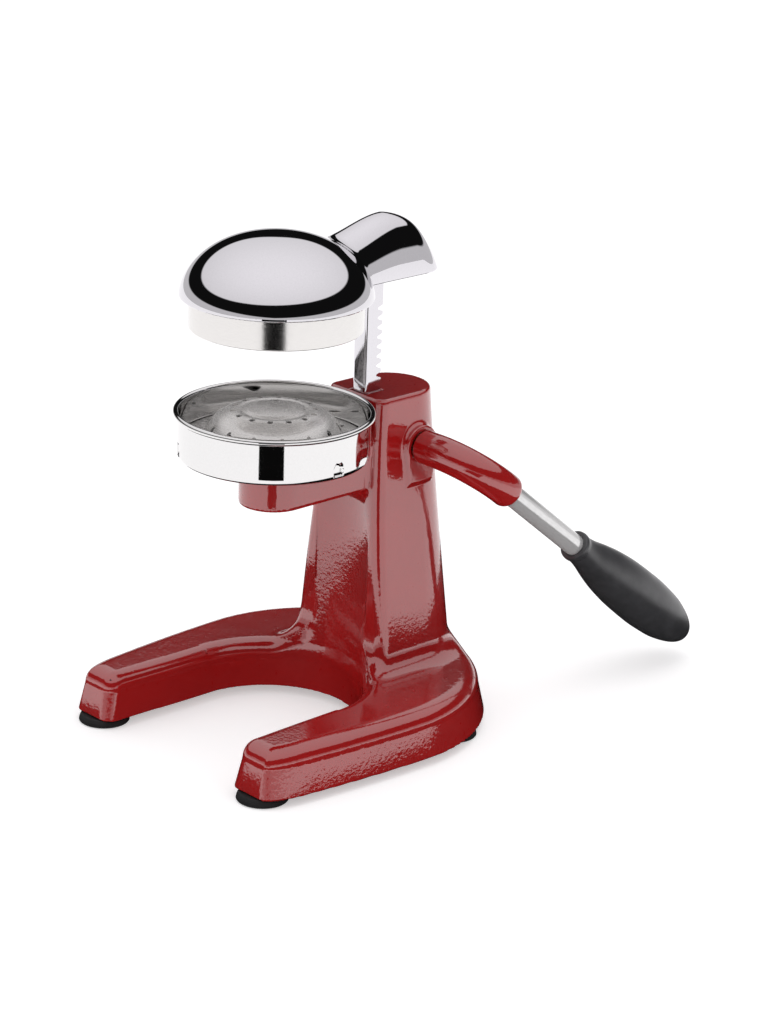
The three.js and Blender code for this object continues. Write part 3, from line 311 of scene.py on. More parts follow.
def skin(field, low, high, step, relax=1):
    """Points, faces and normals of the closed surface where field(x, y, z) changes to positive."""
    axes = [np.arange(l, h + step, step) for l, h in zip(low, high)]
    grid = np.empty([len(a) for a in axes], np.float32)
    yy, zz = np.meshgrid(axes[1], axes[2], indexing="ij")
    for i in range(0, len(axes[0]), 16):
        xs = axes[0][i : i + 16]
        x = np.broadcast_to(xs[:, None, None], (len(xs),) + yy.shape)
        y = np.broadcast_to(yy, x.shape)
        z = np.broadcast_to(zz, x.shape)
        grid[i : i + 16] = field(x, y, z)
    solid = grid < 0
    corners = [(i, j, k) for i in (0, 1) for j in (0, 1) for k in (0, 1)]
    nx, ny, nz = (n - 1 for n in grid.shape)
    count = sum(solid[i : i + nx, j : j + ny, k : k + nz].astype(np.int8) for i, j, k in corners)
    cells = np.argwhere((count > 0) & (count < 8))
    number = np.full((nx, ny, nz), -1, np.int64)
    number[tuple(cells.T)] = np.arange(len(cells))
    values = np.stack([grid[tuple((cells + c).T)] for c in corners], 1)
    total, hits = np.zeros((len(cells), 3)), np.zeros(len(cells))
    for a, ca in enumerate(corners):
        for b, cb in enumerate(corners):
            if b <= a or sum(abs(p - q) for p, q in zip(ca, cb)) != 1:
                continue
            va, vb = values[:, a], values[:, b]
            cross = (va < 0) != (vb < 0)
            t = np.where(cross, va / np.where(cross, va - vb, 1), 0)
            at = np.array(ca) + t[:, None] * (np.array(cb) - np.array(ca))
            total += np.where(cross[:, None], at, 0)
            hits += cross
    points = np.array(low) + step * (cells + total / hits[:, None])

    quads = []
    for axis in range(3):
        one, two = (axis + 1) % 3, (axis + 2) % 3
        here = [slice(1, -1)] * 3
        here[axis] = slice(0, -1)
        there = list(here)
        there[axis] = slice(1, None)
        change = solid[tuple(here)] != solid[tuple(there)]
        at = np.argwhere(change)
        leaving = solid[tuple(here)][tuple(at.T)]
        at = at + np.array([0 if a == axis else 1 for a in range(3)])
        around = []
        for du, dv in ((1, 1), (0, 1), (0, 0), (1, 0)):
            cell = at.copy()
            cell[:, one] -= du
            cell[:, two] -= dv
            around.append(number[tuple(cell.T)])
        quad = np.stack(around, 1)
        quads.append(np.where(leaving[:, None], quad, quad[:, ::-1]))
    quads = np.concatenate(quads)

    def slope(p, e):
        g = np.zeros_like(p)
        for a in range(3):
            up, down = p.copy(), p.copy()
            up[:, a] += e
            down[:, a] -= e
            g[:, a] = (field(*up.T) - field(*down.T)) / (2 * e)
        return g

    def settle(p, times):
        for _ in range(times):
            g = slope(p, 0.04)
            value = field(*p.T)
            move = -value[:, None] * g / np.maximum((g * g).sum(1), 0.05)[:, None]
            far = np.linalg.norm(move, axis=1) / (0.5 * step)
            p = p + move / np.maximum(far, 1)[:, None]
        return p

    points = settle(points, 2)
    for _ in range(relax):
        total, hits = np.zeros_like(points), np.zeros(len(points))
        for a, b in ((0, 1), (1, 2), (2, 3), (3, 0)):
            np.add.at(total, quads[:, a], points[quads[:, b]])
            np.add.at(hits, quads[:, a], 1)
        points = settle(0.5 * points + 0.5 * total / hits[:, None], 2)
    g = slope(points, 0.25)
    normals = g / np.maximum(np.linalg.norm(g, axis=1), 1e-9)[:, None]
    return points, quads, normals


def spacing(step):
    return step * 1


def outline_field(line, low, high, step=0.6):
    """Signed distance, as a function of x and y, to an outline that mirrors itself about x = 0.

    line is its half with x >= 0."""
    line = np.array(line, float)
    a, b = line[:-1], line[1:]
    xs = np.arange(0, high[0] + step, step)
    ys = np.arange(low, high[1] + step, step)
    px, py = (v.ravel() for v in np.meshgrid(xs, ys, indexing="ij"))
    near = np.full(len(px), 1e9)
    odd = np.zeros(len(px), bool)
    for (ax, ay), (bx, by) in zip(a, b):
        dx, dy = bx - ax, by - ay
        t = np.clip(((px - ax) * dx + (py - ay) * dy) / max(dx * dx + dy * dy, 1e-12), 0, 1)
        near = np.minimum(near, np.hypot(px - ax - t * dx, py - ay - t * dy))
        spans = (ay > py) != (by > py)
        if spans.any():
            crossing = ax + (py - ay) * dx / (dy if abs(dy) > 1e-12 else 1e-12)
            odd ^= spans & (px < crossing)
    table = np.where(odd, -near, near).reshape(len(xs), len(ys))

    def value(x, y):
        u = np.clip(np.abs(x) / step, 0, len(xs) - 1.001)
        v = np.clip((y - low) / step, 0, len(ys) - 1.001)
        i, j = u.astype(int), v.astype(int)
        u, v = u - i, v - j
        return (
            table[i, j] * (1 - u) * (1 - v)
            + table[i + 1, j] * u * (1 - v)
            + table[i, j + 1] * (1 - u) * v
            + table[i + 1, j + 1] * u * v
        )

    return value


def bend(a, control, b, count=30):
    """Points of a quadratic curve."""
    t = np.linspace(0, 1, count)[:, None]
    a, control, b = (np.array(p, float) for p in (a, control, b))
    return ((1 - t) ** 2 * a + 2 * t * (1 - t) * control + t * t * b).tolist()


def quarter(radius, centre_y=0.0):
    """Points of a quarter circle from the side to the rear, about a point of the centre line."""
    turn = np.linspace(0, math.pi / 2, 90)
    return [[radius * math.cos(a), centre_y + radius * math.sin(a)] for a in turn]


def curve_of(heights, values, degree):
    """A smooth function through the values at some heights."""
    return np.poly1d(np.polyfit(heights, values, degree))


# ---------- node trees ----------


def feed(tree, value, socket):
    """Links a socket to a socket, or sets it to a value."""
    if isinstance(value, bpy.types.NodeSocket):
        tree.links.new(value, socket)
    else:
        socket.default_value = value


def add_node(tree, kind, operation=None, **inputs):
    """A new node with its inputs fed. _0, _1 and so on name an input by its number."""
    made = tree.nodes.new(kind)
    if operation:
        made.operation = operation
    for key, value in inputs.items():
        feed(tree, value, made.inputs[int(key[1:]) if key[0] == "_" else key.replace("_", " ")])
    return made


def mix_of(tree, kind, factor, a, b):
    """A mix of two numbers (FLOAT) or of two colours (RGBA)."""
    mix = tree.nodes.new("ShaderNodeMix")
    mix.data_type = kind
    first, result = {"FLOAT": (2, 0), "RGBA": (6, 2)}[kind]
    for number, value in ((0, factor), (first, a), (first + 1, b)):
        feed(tree, value, mix.inputs[number])
    return mix.outputs[result]


# ---------- materials ----------


class Finish:
    """A material under construction: a Principled shader and the nodes that feed it."""

    def __init__(self, name, base, roughness, metallic=0.0, **sockets):
        self.material = bpy.data.materials.new(name)
        self.material.use_nodes = True
        self.tree = self.material.node_tree
        self.shader = self.tree.nodes["Principled BSDF"]
        self.shader.inputs["Base Color"].default_value = (*base, 1)
        self.shader.inputs["Roughness"].default_value = roughness
        self.shader.inputs["Metallic"].default_value = metallic
        for key, value in sockets.items():
            self.shader.inputs[key.replace("_", " ")].default_value = value
        self.base = base
        self.place = self.tree.nodes.new("ShaderNodeTexCoord").outputs["Object"]

    def node(self, kind, **inputs):
        return add_node(self.tree, "ShaderNode" + kind, **inputs)

    def noise(self, scale, detail, roughness=0.55, stretch=(1, 1, 1)):
        """Noise over the object, its coordinates stretched by three factors."""
        spread = self.node("Mapping", Vector=self.place, Scale=tuple(stretch)).outputs["Vector"]
        made = self.node("TexNoise", Vector=spread, Scale=scale, Detail=detail, Roughness=roughness)
        return made.outputs["Fac"]

    def ranged(self, value, low, high):
        """The middle of a noise's range spread from low to high."""
        span = {"From_Min": 0.3, "From_Max": 0.7, "To_Min": low, "To_Max": high}
        made = self.node("MapRange", Value=value, **span)
        return made.outputs["Result"]

    def vary_colour(self, factor, other):
        mix = mix_of(self.tree, "RGBA", factor, (*self.base, 1), (*other, 1))
        self.tree.links.new(mix, self.shader.inputs["Base Color"])

    def vary_roughness(self, value):
        self.tree.links.new(value, self.shader.inputs["Roughness"])

    def bump(self, height, strength, distance, under=None):
        node = self.node("Bump", Height=height, Strength=strength, Distance=distance)
        if under is not None:
            self.tree.links.new(under, node.inputs["Normal"])
        return node.outputs["Normal"]

    def relief(self, normal, coat=False):
        self.tree.links.new(normal, self.shader.inputs["Normal"])
        if coat:
            self.tree.links.new(normal, self.shader.inputs["Coat Normal"])


FINISHES = {}


def mixed(colour_, factor):
    return tuple(min(1.0, c * factor) for c in colour_)


def enamel_finish(name, base):
    """Baked enamel over a casting: deep colour, a hard gloss and a faint orange-peel ripple."""
    coat = {"Coat_Weight": 1.0, "Coat_Roughness": 0.02, "Coat_IOR": 2.05}
    f = Finish(name, base, 0.32, **coat, Specular_IOR_Level=0.15)
    f.vary_colour(f.ranged(f.noise(22, 4), 0, 1), mixed(base, 0.86))
    ripple = f.bump(f.noise(420, 2), 0.14, 0.0005)
    swell = f.bump(f.noise(60, 1), 0.06, 0.001, ripple)
    f.vary_roughness(f.ranged(f.noise(300, 4), 0.27, 0.38))
    f.relief(swell, coat=True)
    return f.material


def mirror_finish(name, base, low, high, wave):
    """Bright plating or polished sheet with faint rubbing marks."""
    f = Finish(name, base, low, 1.0)
    marks = f.noise(900, 5, 0.7)
    f.vary_roughness(f.ranged(f.noise(45, 5), low, high))
    f.vary_colour(f.ranged(marks, 0, 1), mixed(base, 0.95))
    f.relief(f.bump(f.noise(38, 2), wave, 0.001, f.bump(marks, 0.004, 0.0002)))
    return f.material


def brushed_finish(name, base, low, high, along, anisotropy, depth, metallic=1.0):
    """Metal brushed around its axis: fine even lines, streaky gloss."""
    f = Finish(name, base, low, metallic, Anisotropic=anisotropy)
    lines = f.noise(45, 6, 0.75, along)
    fine = f.noise(90, 3, 0.7, [v * 2.3 for v in along])
    f.vary_roughness(f.ranged(lines, low, high))
    f.vary_colour(f.ranged(fine, 0, 1), mixed(base, 0.86))
    f.relief(f.bump(lines, depth, 0.0002, f.bump(fine, depth, 0.0001)))
    tangent = f.tree.nodes.new("ShaderNodeTangent")
    tangent.direction_type = "RADIAL"
    tangent.axis = "Z"
    f.tree.links.new(tangent.outputs[0], f.shader.inputs["Tangent"])
    return f.material


def moulded_finish(name, base, low, high, grain, depth, coat=0.0):
    """Moulded plastic or rubber with a fine grain and slightly uneven gloss."""
    f = Finish(name, base, low, 0.0, Coat_Weight=coat, Coat_Roughness=0.35)
    fine = f.noise(grain, 3, 0.6)
    f.vary_roughness(f.ranged(f.noise(90, 4), low, high))
    f.vary_colour(f.ranged(f.noise(140, 5), 0, 1), mixed(base, 1.5))
    f.relief(f.bump(fine, depth, 0.0003))
    return f.material


def machined_finish(name, base, low, high):
    """Machined steel or bronze of the small parts."""
    f = Finish(name, base, low, 1.0)
    f.vary_roughness(f.ranged(f.noise(260, 5), low, high))
    f.vary_colour(f.ranged(f.noise(120, 4), 0, 1), mixed(base, 0.8))
    f.relief(f.bump(f.noise(1500, 4), 0.05, 0.0002))
    return f.material


# ---------- operators ----------


class Piece(bpy.types.Operator):
    """Shared part of the press's operators."""

    bl_options = {"REGISTER", "UNDO"}

    def execute(self, context):
        self.build(settings())
        return {"FINISHED"}


class PRESS_OT_finishes(Piece):
    """Makes every finish of the press"""

    bl_idname = "press.finishes"
    bl_label = "Finishes"

    def build(self, s):
        c = s.finish
        around, down = (1, 1, 60), (60, 1, 1)
        strainer = 0.2, 0.34, (3, 3, 30), 0.4, 0.03, 0.4
        made = (
            ("enamel", enamel_finish, "red_enamel", c.enamel, 1),
            ("chrome", mirror_finish, "head_chrome", c.chrome, 1, 0.015, 0.04, 0.02),
            ("funnel", mirror_finish, "polished_funnel", c.steel, 1, 0.03, 0.07, 0.03),
            ("rack", mirror_finish, "rack_chrome", c.chrome, 1, 0.05, 0.12, 0.02),
            ("tube", brushed_finish, "tube_chrome", c.steel, 1, 0.12, 0.2, down, 0.0, 0.015, 0.55),
            ("strainer", brushed_finish, "satin_strainer", c.satin, 1.28, *strainer),
            ("cup", brushed_finish, "brushed_cup", c.satin, 1.22, 0.09, 0.18, around, 0.3, 0.05),
            ("grip", moulded_finish, "black_grip", c.grip, 2.4, 0.34, 0.44, 1500, 0.1, 0.6),
            ("rubber", moulded_finish, "black_rubber", c.rubber, 1, 0.6, 0.75, 900, 0.15),
            ("steel", machined_finish, "machined_steel", (0.5, 0.5, 0.51), 1, 0.18, 0.34),
            ("bronze", machined_finish, "sintered_bronze", c.bronze, 1, 0.3, 0.45),
        )
        for key, maker, name, tint, factor, *values in made:
            FINISHES[key] = maker(name, mixed(tuple(tint), factor), *values)


class PRESS_OT_casting(Piece):
    """Builds the enamelled base and tower as one blended casting"""

    bl_idname = "press.casting"
    bl_label = "Casting"

    def build(self, s):
        c = s.casting
        bottom, top = CASTING_LOW[2], 35.5
        front, rear_centre, rear = CASTING_LOW[1], 42.0, CASTING_HIGH[0]
        tower_top = CASTING_HIGH[2]
        draft, wall, well_radius = 4.5, c.wall, 57.5
        room = front - 8, (CASTING_HIGH[0] + 8, CASTING_HIGH[1] + 8)
        outer = outline_field(
            [[0, front]]
            + bend((88, front), (98.5, front + 3), (101.5, -48))
            + bend((101.5, -48), (rear - 1, 0), (rear, rear_centre))
            + quarter(rear, rear_centre),
            *room,
        )
        well = outline_field(
            [[59.6, front - 60]]
            + bend((59.5, front + 4), (well_radius, -20), (well_radius, 0))
            + quarter(well_radius),
            *room,
        )
        levels = [5, 35, 52, 82, 118, 150, 184, 212]
        half = curve_of(levels, [47, 43.9, 41.8, 37.6, 34, 31.2, 28, 25.7], 3)
        back = curve_of(levels, [146, 142.8, 141, 137.8, 133.5, 129.8, 126.6, 124], 3)
        face = curve_of(levels[:1] + levels[2:], [58.4, 59, 59.4, 59.9, 61.2, 64.3, 66.5], 4)
        hollow_face = curve_of([0, 24, 40, 75, 110, 153], [57.2, 59.8, 61.6, 64.4, 65.2, 64.6], 4)
        arch_top, arch_corner = 153, 11
        bracket_half, bracket_rear, bracket_low, bracket_top = 21.5, 75, 154, 184.2
        boss, boss_end, skirt_drop = 13.4, 32, 24
        bush_bore, neck_bore, post = 9.3, 16.1, 9
        guide_half, guide_rear, guide_low = 12, 82.5, 141
        rack_y, stroke_room = (RACK_LOW[1] + RACK_HIGH[1]) / 2, 74

        def base_sides(x, y, z):
            lean = draft * np.clip((z - bottom) / (top - c.edge_round - bottom), 0, 1)
            return outer(x, y) + lean, lean / 2 - well(x, y)

        def tower_sides(x, y, z):
            h, b = half(z), back(z) - SHAFT_Y
            f = face(z) - 9 * np.clip((62 - z) / 27, 0, 1) ** 2
            round_back = np.hypot(x, np.maximum(y - SHAFT_Y, 0) * h / b) - h
            return round_meet(round_back, f - y, 7)

        def casting(x, y, z):
            ax, reach = np.abs(x), np.hypot(x, y)
            # Base and tower in one.
            flank, inner = base_sides(x, y, z)
            sides, tower_wall = np.maximum(flank, inner), tower_sides(x, y, z)
            body = round_meet(flank, z - top, c.edge_round)
            tower = round_meet(tower_wall, z - tower_top, 2.2)
            body = round_union(body, tower, c.tower_fillet)
            # The well between the arms, and the concave front panel with its arched top.
            flare = 17 * np.clip(1 - (z - top) / 18, 0, 1) ** 2 + np.where(z < top + 0.5, 300, 0)
            arch_x = ax - c.panel_half - flare + arch_corner
            arch_z = z - arch_top + arch_corner
            arch = np.hypot(np.maximum(arch_x, 0), np.maximum(arch_z, 0))
            arch = arch + np.minimum(np.maximum(arch_x, arch_z), 0) - arch_corner
            blend = np.clip((z - 20) / 16, 0, 1)
            panel = np.where(y > 0, reach - hollow_face(z), -inner)
            scoop = np.maximum((1 - blend) * -inner + blend * panel, arch)
            edge = 1.1 + 7.5 * np.clip((50 - z) / 14, 0, 1)
            body = round_meet(body, -scoop, edge)
            # The bracket under the funnel.
            bracket = np.maximum(np.where(y < 0, reach, ax) - bracket_half, y - bracket_rear)
            bracket = round_meet(bracket, np.maximum(z - bracket_top, bracket_low - z), 1.6)
            fillet = 1.5 + 9.5 * np.clip((22.5 - ax) / 5, 0, 1)
            body = round_union(body, bracket, fillet)
            # The shaft's bosses, which run down the sides as skirts.
            from_shaft = np.hypot(y - SHAFT_Y, z - SHAFT_Z)
            taper = 3 * np.clip((SHAFT_Z - z) / skirt_drop, 0, 1)
            skirt = np.maximum(np.abs(y - SHAFT_Y) - boss + taper, SHAFT_Z - skirt_drop - z)
            bosses = np.where(z > SHAFT_Z, from_shaft - boss, skirt)
            body = round_union(body, round_meet(bosses, ax - boss_end, 1.3), 3)
            body = round_meet(body, bottom - z, 1)
            # The hollow: under the base around the foot posts, and in the tower around the guide.
            under = np.maximum(sides + wall, z - top + wall)
            front_posts = np.hypot(ax - 77.4, y - front - 12)
            rear_posts = np.hypot(ax - 80, y - 86)
            under = np.maximum(under, post - np.minimum(front_posts, rear_posts))
            guide = np.maximum(np.maximum(ax - guide_half, y - guide_rear), guide_low - z)
            guide = np.maximum(guide, -np.maximum(from_shaft - 19, ax - 14))
            guide = np.minimum(guide, np.maximum(from_shaft - 13, 17 - ax))
            above = np.maximum(np.maximum(tower_wall + wall, z - tower_top + 6), -guide)
            above = np.maximum(above, 71 - reach)
            body = round_meet(body, -np.minimum(under, above), 0.8)
            # The rack's channel, the shaft's bore and the hole for the funnel's neck.
            channel = np.maximum(ax - RACK_HIGH[0] - 0.3, np.abs(y - rack_y) - 7.3)
            channel = np.maximum(channel, RACK_LOW[2] - stroke_room - z)
            body = round_meet(body, -channel, 0.7)
            body = round_meet(body, bush_bore - from_shaft, 0.5)
            return round_meet(body, neck_bore - reach, 0.6)

        step = spacing(c.skin_step)
        points, faces, normals = skin(casting, CASTING_LOW - 4.37, CASTING_HIGH + 4, step)
        piece = new_piece("casting_skin", points, faces, FINISHES["enamel"], normals=normals)
        place(piece, "frame", "frame_enamel", "frame_casting")


class PRESS_OT_head_cover(Piece):
    """Builds the chromed cap with its arm"""

    bl_idname = "press.head_cover"
    bl_label = "Head cover"

    def build(self, s):
        h = s.head
        radius, rim, arm_end = COVER_HIGH[0], COVER_LOW[2], COVER_HIGH[1]
        base, arm_half = 287.2, 19.5
        height = COVER_HIGH[2] - base

        def bowl(reach, rise, wide, high):
            """A flattened dome, near enough a distance."""
            r, z = np.maximum(reach, 1e-3) / wide, np.maximum(rise, 1e-3) / high
            value = r**2.2 + z**1.8 - 1
            steep = np.hypot(2.2 * r**1.2 / wide, 1.8 * z**0.8 / high)
            return value / np.maximum(steep, 0.6 / wide)

        def arm(x, y, z, wall):
            rise = np.maximum(z - base, 0)
            t = np.clip((y - 38) / 50, 0, 1)
            high = h.neck_rise + (height - h.neck_rise) * t * t * (3 - 2 * t)
            lean = 0.4 * rise + 6.6 * (np.minimum(rise, 41) / 38.6) ** 9
            centre = arm_end - arm_half - lean
            reach = np.hypot(x, np.maximum(y - centre, 0))
            return np.maximum(bowl(reach, rise, arm_half - wall, high - wall), -y)

        def cover(x, y, z):
            reach = np.hypot(x, y)
            rise = z - base
            cap = bowl(reach, rise, radius, height)
            outside = round_union(cap, arm(x, y, z, 0), h.neck_fillet)
            inside = bowl(reach, rise, radius - h.wall, height - h.wall)
            inside = np.minimum(inside, arm(x, y, z, h.wall))
            block = np.maximum(np.abs(x) - 12, np.abs(y - 79) - 13)
            post = np.maximum(reach - 8, CUP_HIGH[2] - 0.2 - z)
            inside = np.maximum(inside, -np.minimum(block, post))
            body = round_meet(outside, -inside, 0.8)
            return round_meet(body, rim - z, 0.9)

        step = spacing(h.skin_step)
        points, faces, normals = skin(cover, COVER_LOW - 3.3, COVER_HIGH + 3, step)
        piece = new_piece("head_cover_skin", points, faces, FINISHES["chrome"], normals=normals)
        place(piece, "head", "head_chrome", "head_cover")


class PRESS_OT_press_cup(Piece):
    """Builds the brushed press cup under the cap"""

    bl_idname = "press.press_cup"
    bl_label = "Press cup"

    def build(self, s):
        low, high, wide = CUP_LOW[2], CUP_HIGH[2], CUP_HIGH[0]
        inner = wide - 2.4
        shoulder = low + 22.5
        start = (inner - 0.4, low + 5)
        dome = [(inner - 1.6, 8.5), (46.6, 13.4), (40.8, 17.8), (33.2, 20.8), (27.5, 21.7)]
        dome += [(22.9, 21.4), (20, 22.4), (10.3, 23.1), (3.3, 23.2)]
        dome = smooth_curve([start] + [(r, low + rise) for r, rise in dome], 4)
        shape = [(3.3, high), (12, high), (wide * 0.62, high - 1.8), (wide - 7, shoulder + 0.6)]
        shape += [(wide, shoulder), (wide, low), (inner, low), start]
        outside = rounded(shape, [0, 1, 3, 4, 1.4, 0.9, 0.7, 0])
        profile = outside[:-1] + dome
        points, faces = turned(profile[::-1], 220)
        piece = outward(new_piece("press_cup_skin", points, faces, FINISHES["cup"], sharp=38))
        place(piece, "head", "cup_brushed", "press_cup")


class PRESS_OT_funnel(Piece):
    """Builds the juice funnel with its rolled rim and pressed dents"""

    bl_idname = "press.funnel"
    bl_label = "Juice funnel"

    def build(self, s):
        sheet, dent = s.funnel.sheet, s.funnel.dent_depth
        low, high = FUNNEL_LOW[2], FUNNEL_HIGH[2]
        wall, floor_z, neck, bead = 60.2, 184.5, 15.4, 1.95
        bead_r, bead_z = FUNNEL_HIGH[0] - bead, high - bead
        arc = np.linspace(-2.1, math.pi, 18)
        roll = [(bead_r + bead * math.cos(a), bead_z + bead * math.sin(a)) for a in arc]
        shape = [(neck, low), (neck, floor_z), (wall - 0.6, floor_z + 0.5), (wall, floor_z + 4)]
        outside = rounded(shape, [0.4, 2, 2.6, 0], 6)
        side = [(wall, z) for z in np.linspace(floor_z + 4, bead_z - 1.9, 26)]
        inner = wall - sheet
        lining = [(inner, z) for z in np.linspace(bead_z - 1.2, floor_z + 5, 24)]
        shape = [(inner, floor_z + 5), (inner - 0.8, floor_z + sheet + 0.3)]
        shape += [(neck + 1, floor_z + sheet), (neck - sheet, floor_z - 0.6), (neck - sheet, low)]
        inside = rounded(shape, [0, 3, 2, 1.6, 0.3], 6)
        dent_half, dent_high, dent_z = 3.6, 4.2, 6.6

        def dents(r, z, angles):
            """Pulls the wall inwards at three pressed dents."""
            if r < wall - 3 or z > bead_z - 2.5 or z < floor_z + 2.2:
                return np.zeros(len(angles))
            across = ((angles + math.pi / 3) % (2 * math.pi / 3) - math.pi / 3) * wall
            u, v = np.abs(across) / dent_half, (z - floor_z - dent_z) / dent_high
            out = np.hypot(u, np.maximum(v, 0)) if v > 0 else np.maximum(u, abs(v))
            t = np.clip((1.12 - out) / 0.3, 0, 1)
            return -dent * t * t * (3 - 2 * t)

        profile = outside + side[1:] + roll + lining[1:] + inside[1:]
        points, faces = turned(profile, 640, shift=dents)
        piece = outward(new_piece("juice_funnel_skin", points, faces, FINISHES["funnel"], sharp=50))
        place(piece, "frame", "funnel_polish", "juice_funnel")


class Punch:
    """A Geometry Nodes tree that cuts copies of a block out of a piece. Its inputs are lengths."""

    def __init__(self, name, *lengths):
        self.tree = bpy.data.node_groups.new(name, "GeometryNodeTree")
        ends = self.tree.interface
        ends.new_socket("Geometry", in_out="INPUT", socket_type="NodeSocketGeometry")
        number = {"in_out": "INPUT", "socket_type": "NodeSocketFloat"}
        self.keys = [ends.new_socket(length, **number).identifier for length in lengths]
        ends.new_socket("Geometry", in_out="OUTPUT", socket_type="NodeSocketGeometry")
        self.start = self.tree.nodes.new("NodeGroupInput").outputs

    def node(self, kind, output="Geometry", **inputs):
        return add_node(self.tree, "GeometryNode" + kind, **inputs).outputs[output]

    def run(self, piece, points, block, *lengths):
        """Cuts the block, in millimetres, at the points and keeps the piece's material."""
        copies = self.node("InstanceOnPoints", "Instances", Points=points, Instance=block)
        real = self.node("RealizeInstances", Geometry=copies)
        whole = {"Mesh_1": self.start["Geometry"], "Mesh_2": real}
        cut = self.node("MeshBoolean", "Mesh", operation="DIFFERENCE", **whole)
        cut = self.node("RealizeInstances", Geometry=cut)
        cut = self.node("SetMaterial", Geometry=cut, Material=piece.data.materials[0])
        add_node(self.tree, "NodeGroupOutput", Geometry=cut)
        return settled(piece, self.tree, dict(zip(self.keys, (v * MM for v in lengths))))


def perforated(piece, rings, radius, low, high):
    """Punches round holes on rings about the axis. rings are (radius, count, turn)."""
    punch = Punch("perforations", "Hole radius", "Depth")
    sizes = {"Radius": punch.start["Hole radius"], "Depth": punch.start["Depth"]}
    hole = punch.node("MeshCylinder", "Mesh", Vertices=20, **sizes)
    join = add_node(punch.tree, "GeometryNodeJoinGeometry")
    for ring, count, turn in rings:
        circle = punch.node("MeshCircle", "Mesh", Vertices=count, Radius=ring * MM)
        middle = (0, AXIS[1] * MM, (low + high) / 2 * MM)
        moved = punch.node("Transform", Geometry=circle, Translation=middle, Rotation=(0, 0, turn))
        feed(punch.tree, moved, join.inputs["Geometry"])
    points = punch.node("MeshToPoints", "Points", Mesh=join.outputs["Geometry"])
    return punch.run(piece, points, hole, radius, high - low)


def settled(piece, tree, values):
    """Runs a node tree on a piece once and keeps the result as a plain mesh."""
    modifier = piece.modifiers.new("shape", "NODES")
    modifier.node_group = tree
    for identifier, value in values.items():
        modifier[identifier] = value
    bpy.context.view_layer.update()
    evaluated = piece.evaluated_get(bpy.context.evaluated_depsgraph_get())
    mesh = bpy.data.meshes.new_from_object(evaluated)
    old = piece.data
    piece.modifiers.remove(modifier)
    piece.data = mesh
    mesh.name = piece.name
    bpy.data.meshes.remove(old)
    bpy.data.node_groups.remove(tree)
    if not len(mesh.polygons):
        raise RuntimeError(piece.name + " came out empty")
    return piece


class PRESS_OT_strainer(Piece):
    """Builds the domed strainer and punches its holes"""

    bl_idname = "press.strainer"
    bl_label = "Strainer"

    def build(self, s):
        z, wide, rise = STRAINER_LOW[2], STRAINER_HIGH[0], 21.6
        line = [(wide, 0.9), (wide - 1.2, 1.2), (54, 1.2), (48.5, 0.9), (46.2, 0.9), (44.6, 1.6)]
        line += [(43.2, 4), (42.3, 6.6), (40, 11), (35.5, 15.8)]
        crown = [(29, 0.88), (24, 0.925), (21.4, 0.918), (20, 0.915), (18.6, 0.93), (17.2, 0.957)]
        line += [(r, rise * share) for r, share in crown + [(9, 0.987), (0, 1)]]
        above = smooth_curve(line, 5)
        curve = np.array(above)
        along = np.gradient(curve, axis=0)
        side = np.stack([along[:, 1], -along[:, 0]], 1)
        side /= np.linalg.norm(side, axis=1)[:, None]
        below = curve - side * np.where(side[:, 1:] > 0, 1, -1) * s.funnel.sheet * 0.83
        below[-1, 0] = 0
        below[:, 0] = np.clip(below[:, 0], 0, wide - 0.25)
        profile = [(r, z + h) for r, h in curve] + [(r, z + h) for r, h in below[::-1]]
        points, faces = turned(profile, 180)
        piece = outward(new_piece("strainer_skin", points, faces, FINISHES["strainer"]))
        turn = -0.82
        rings = [(7.5, 2, turn), (15.5, 4, turn), (25.7, 14, turn)]
        rings += [(40, 14, turn + math.pi / 14), (50.5, 14, turn)]
        perforated(piece, rings, s.funnel.hole, z - 6, z + rise + 6)
        smoothed(piece, 40)
        place(piece, "frame", "strainer_satin", "strainer")


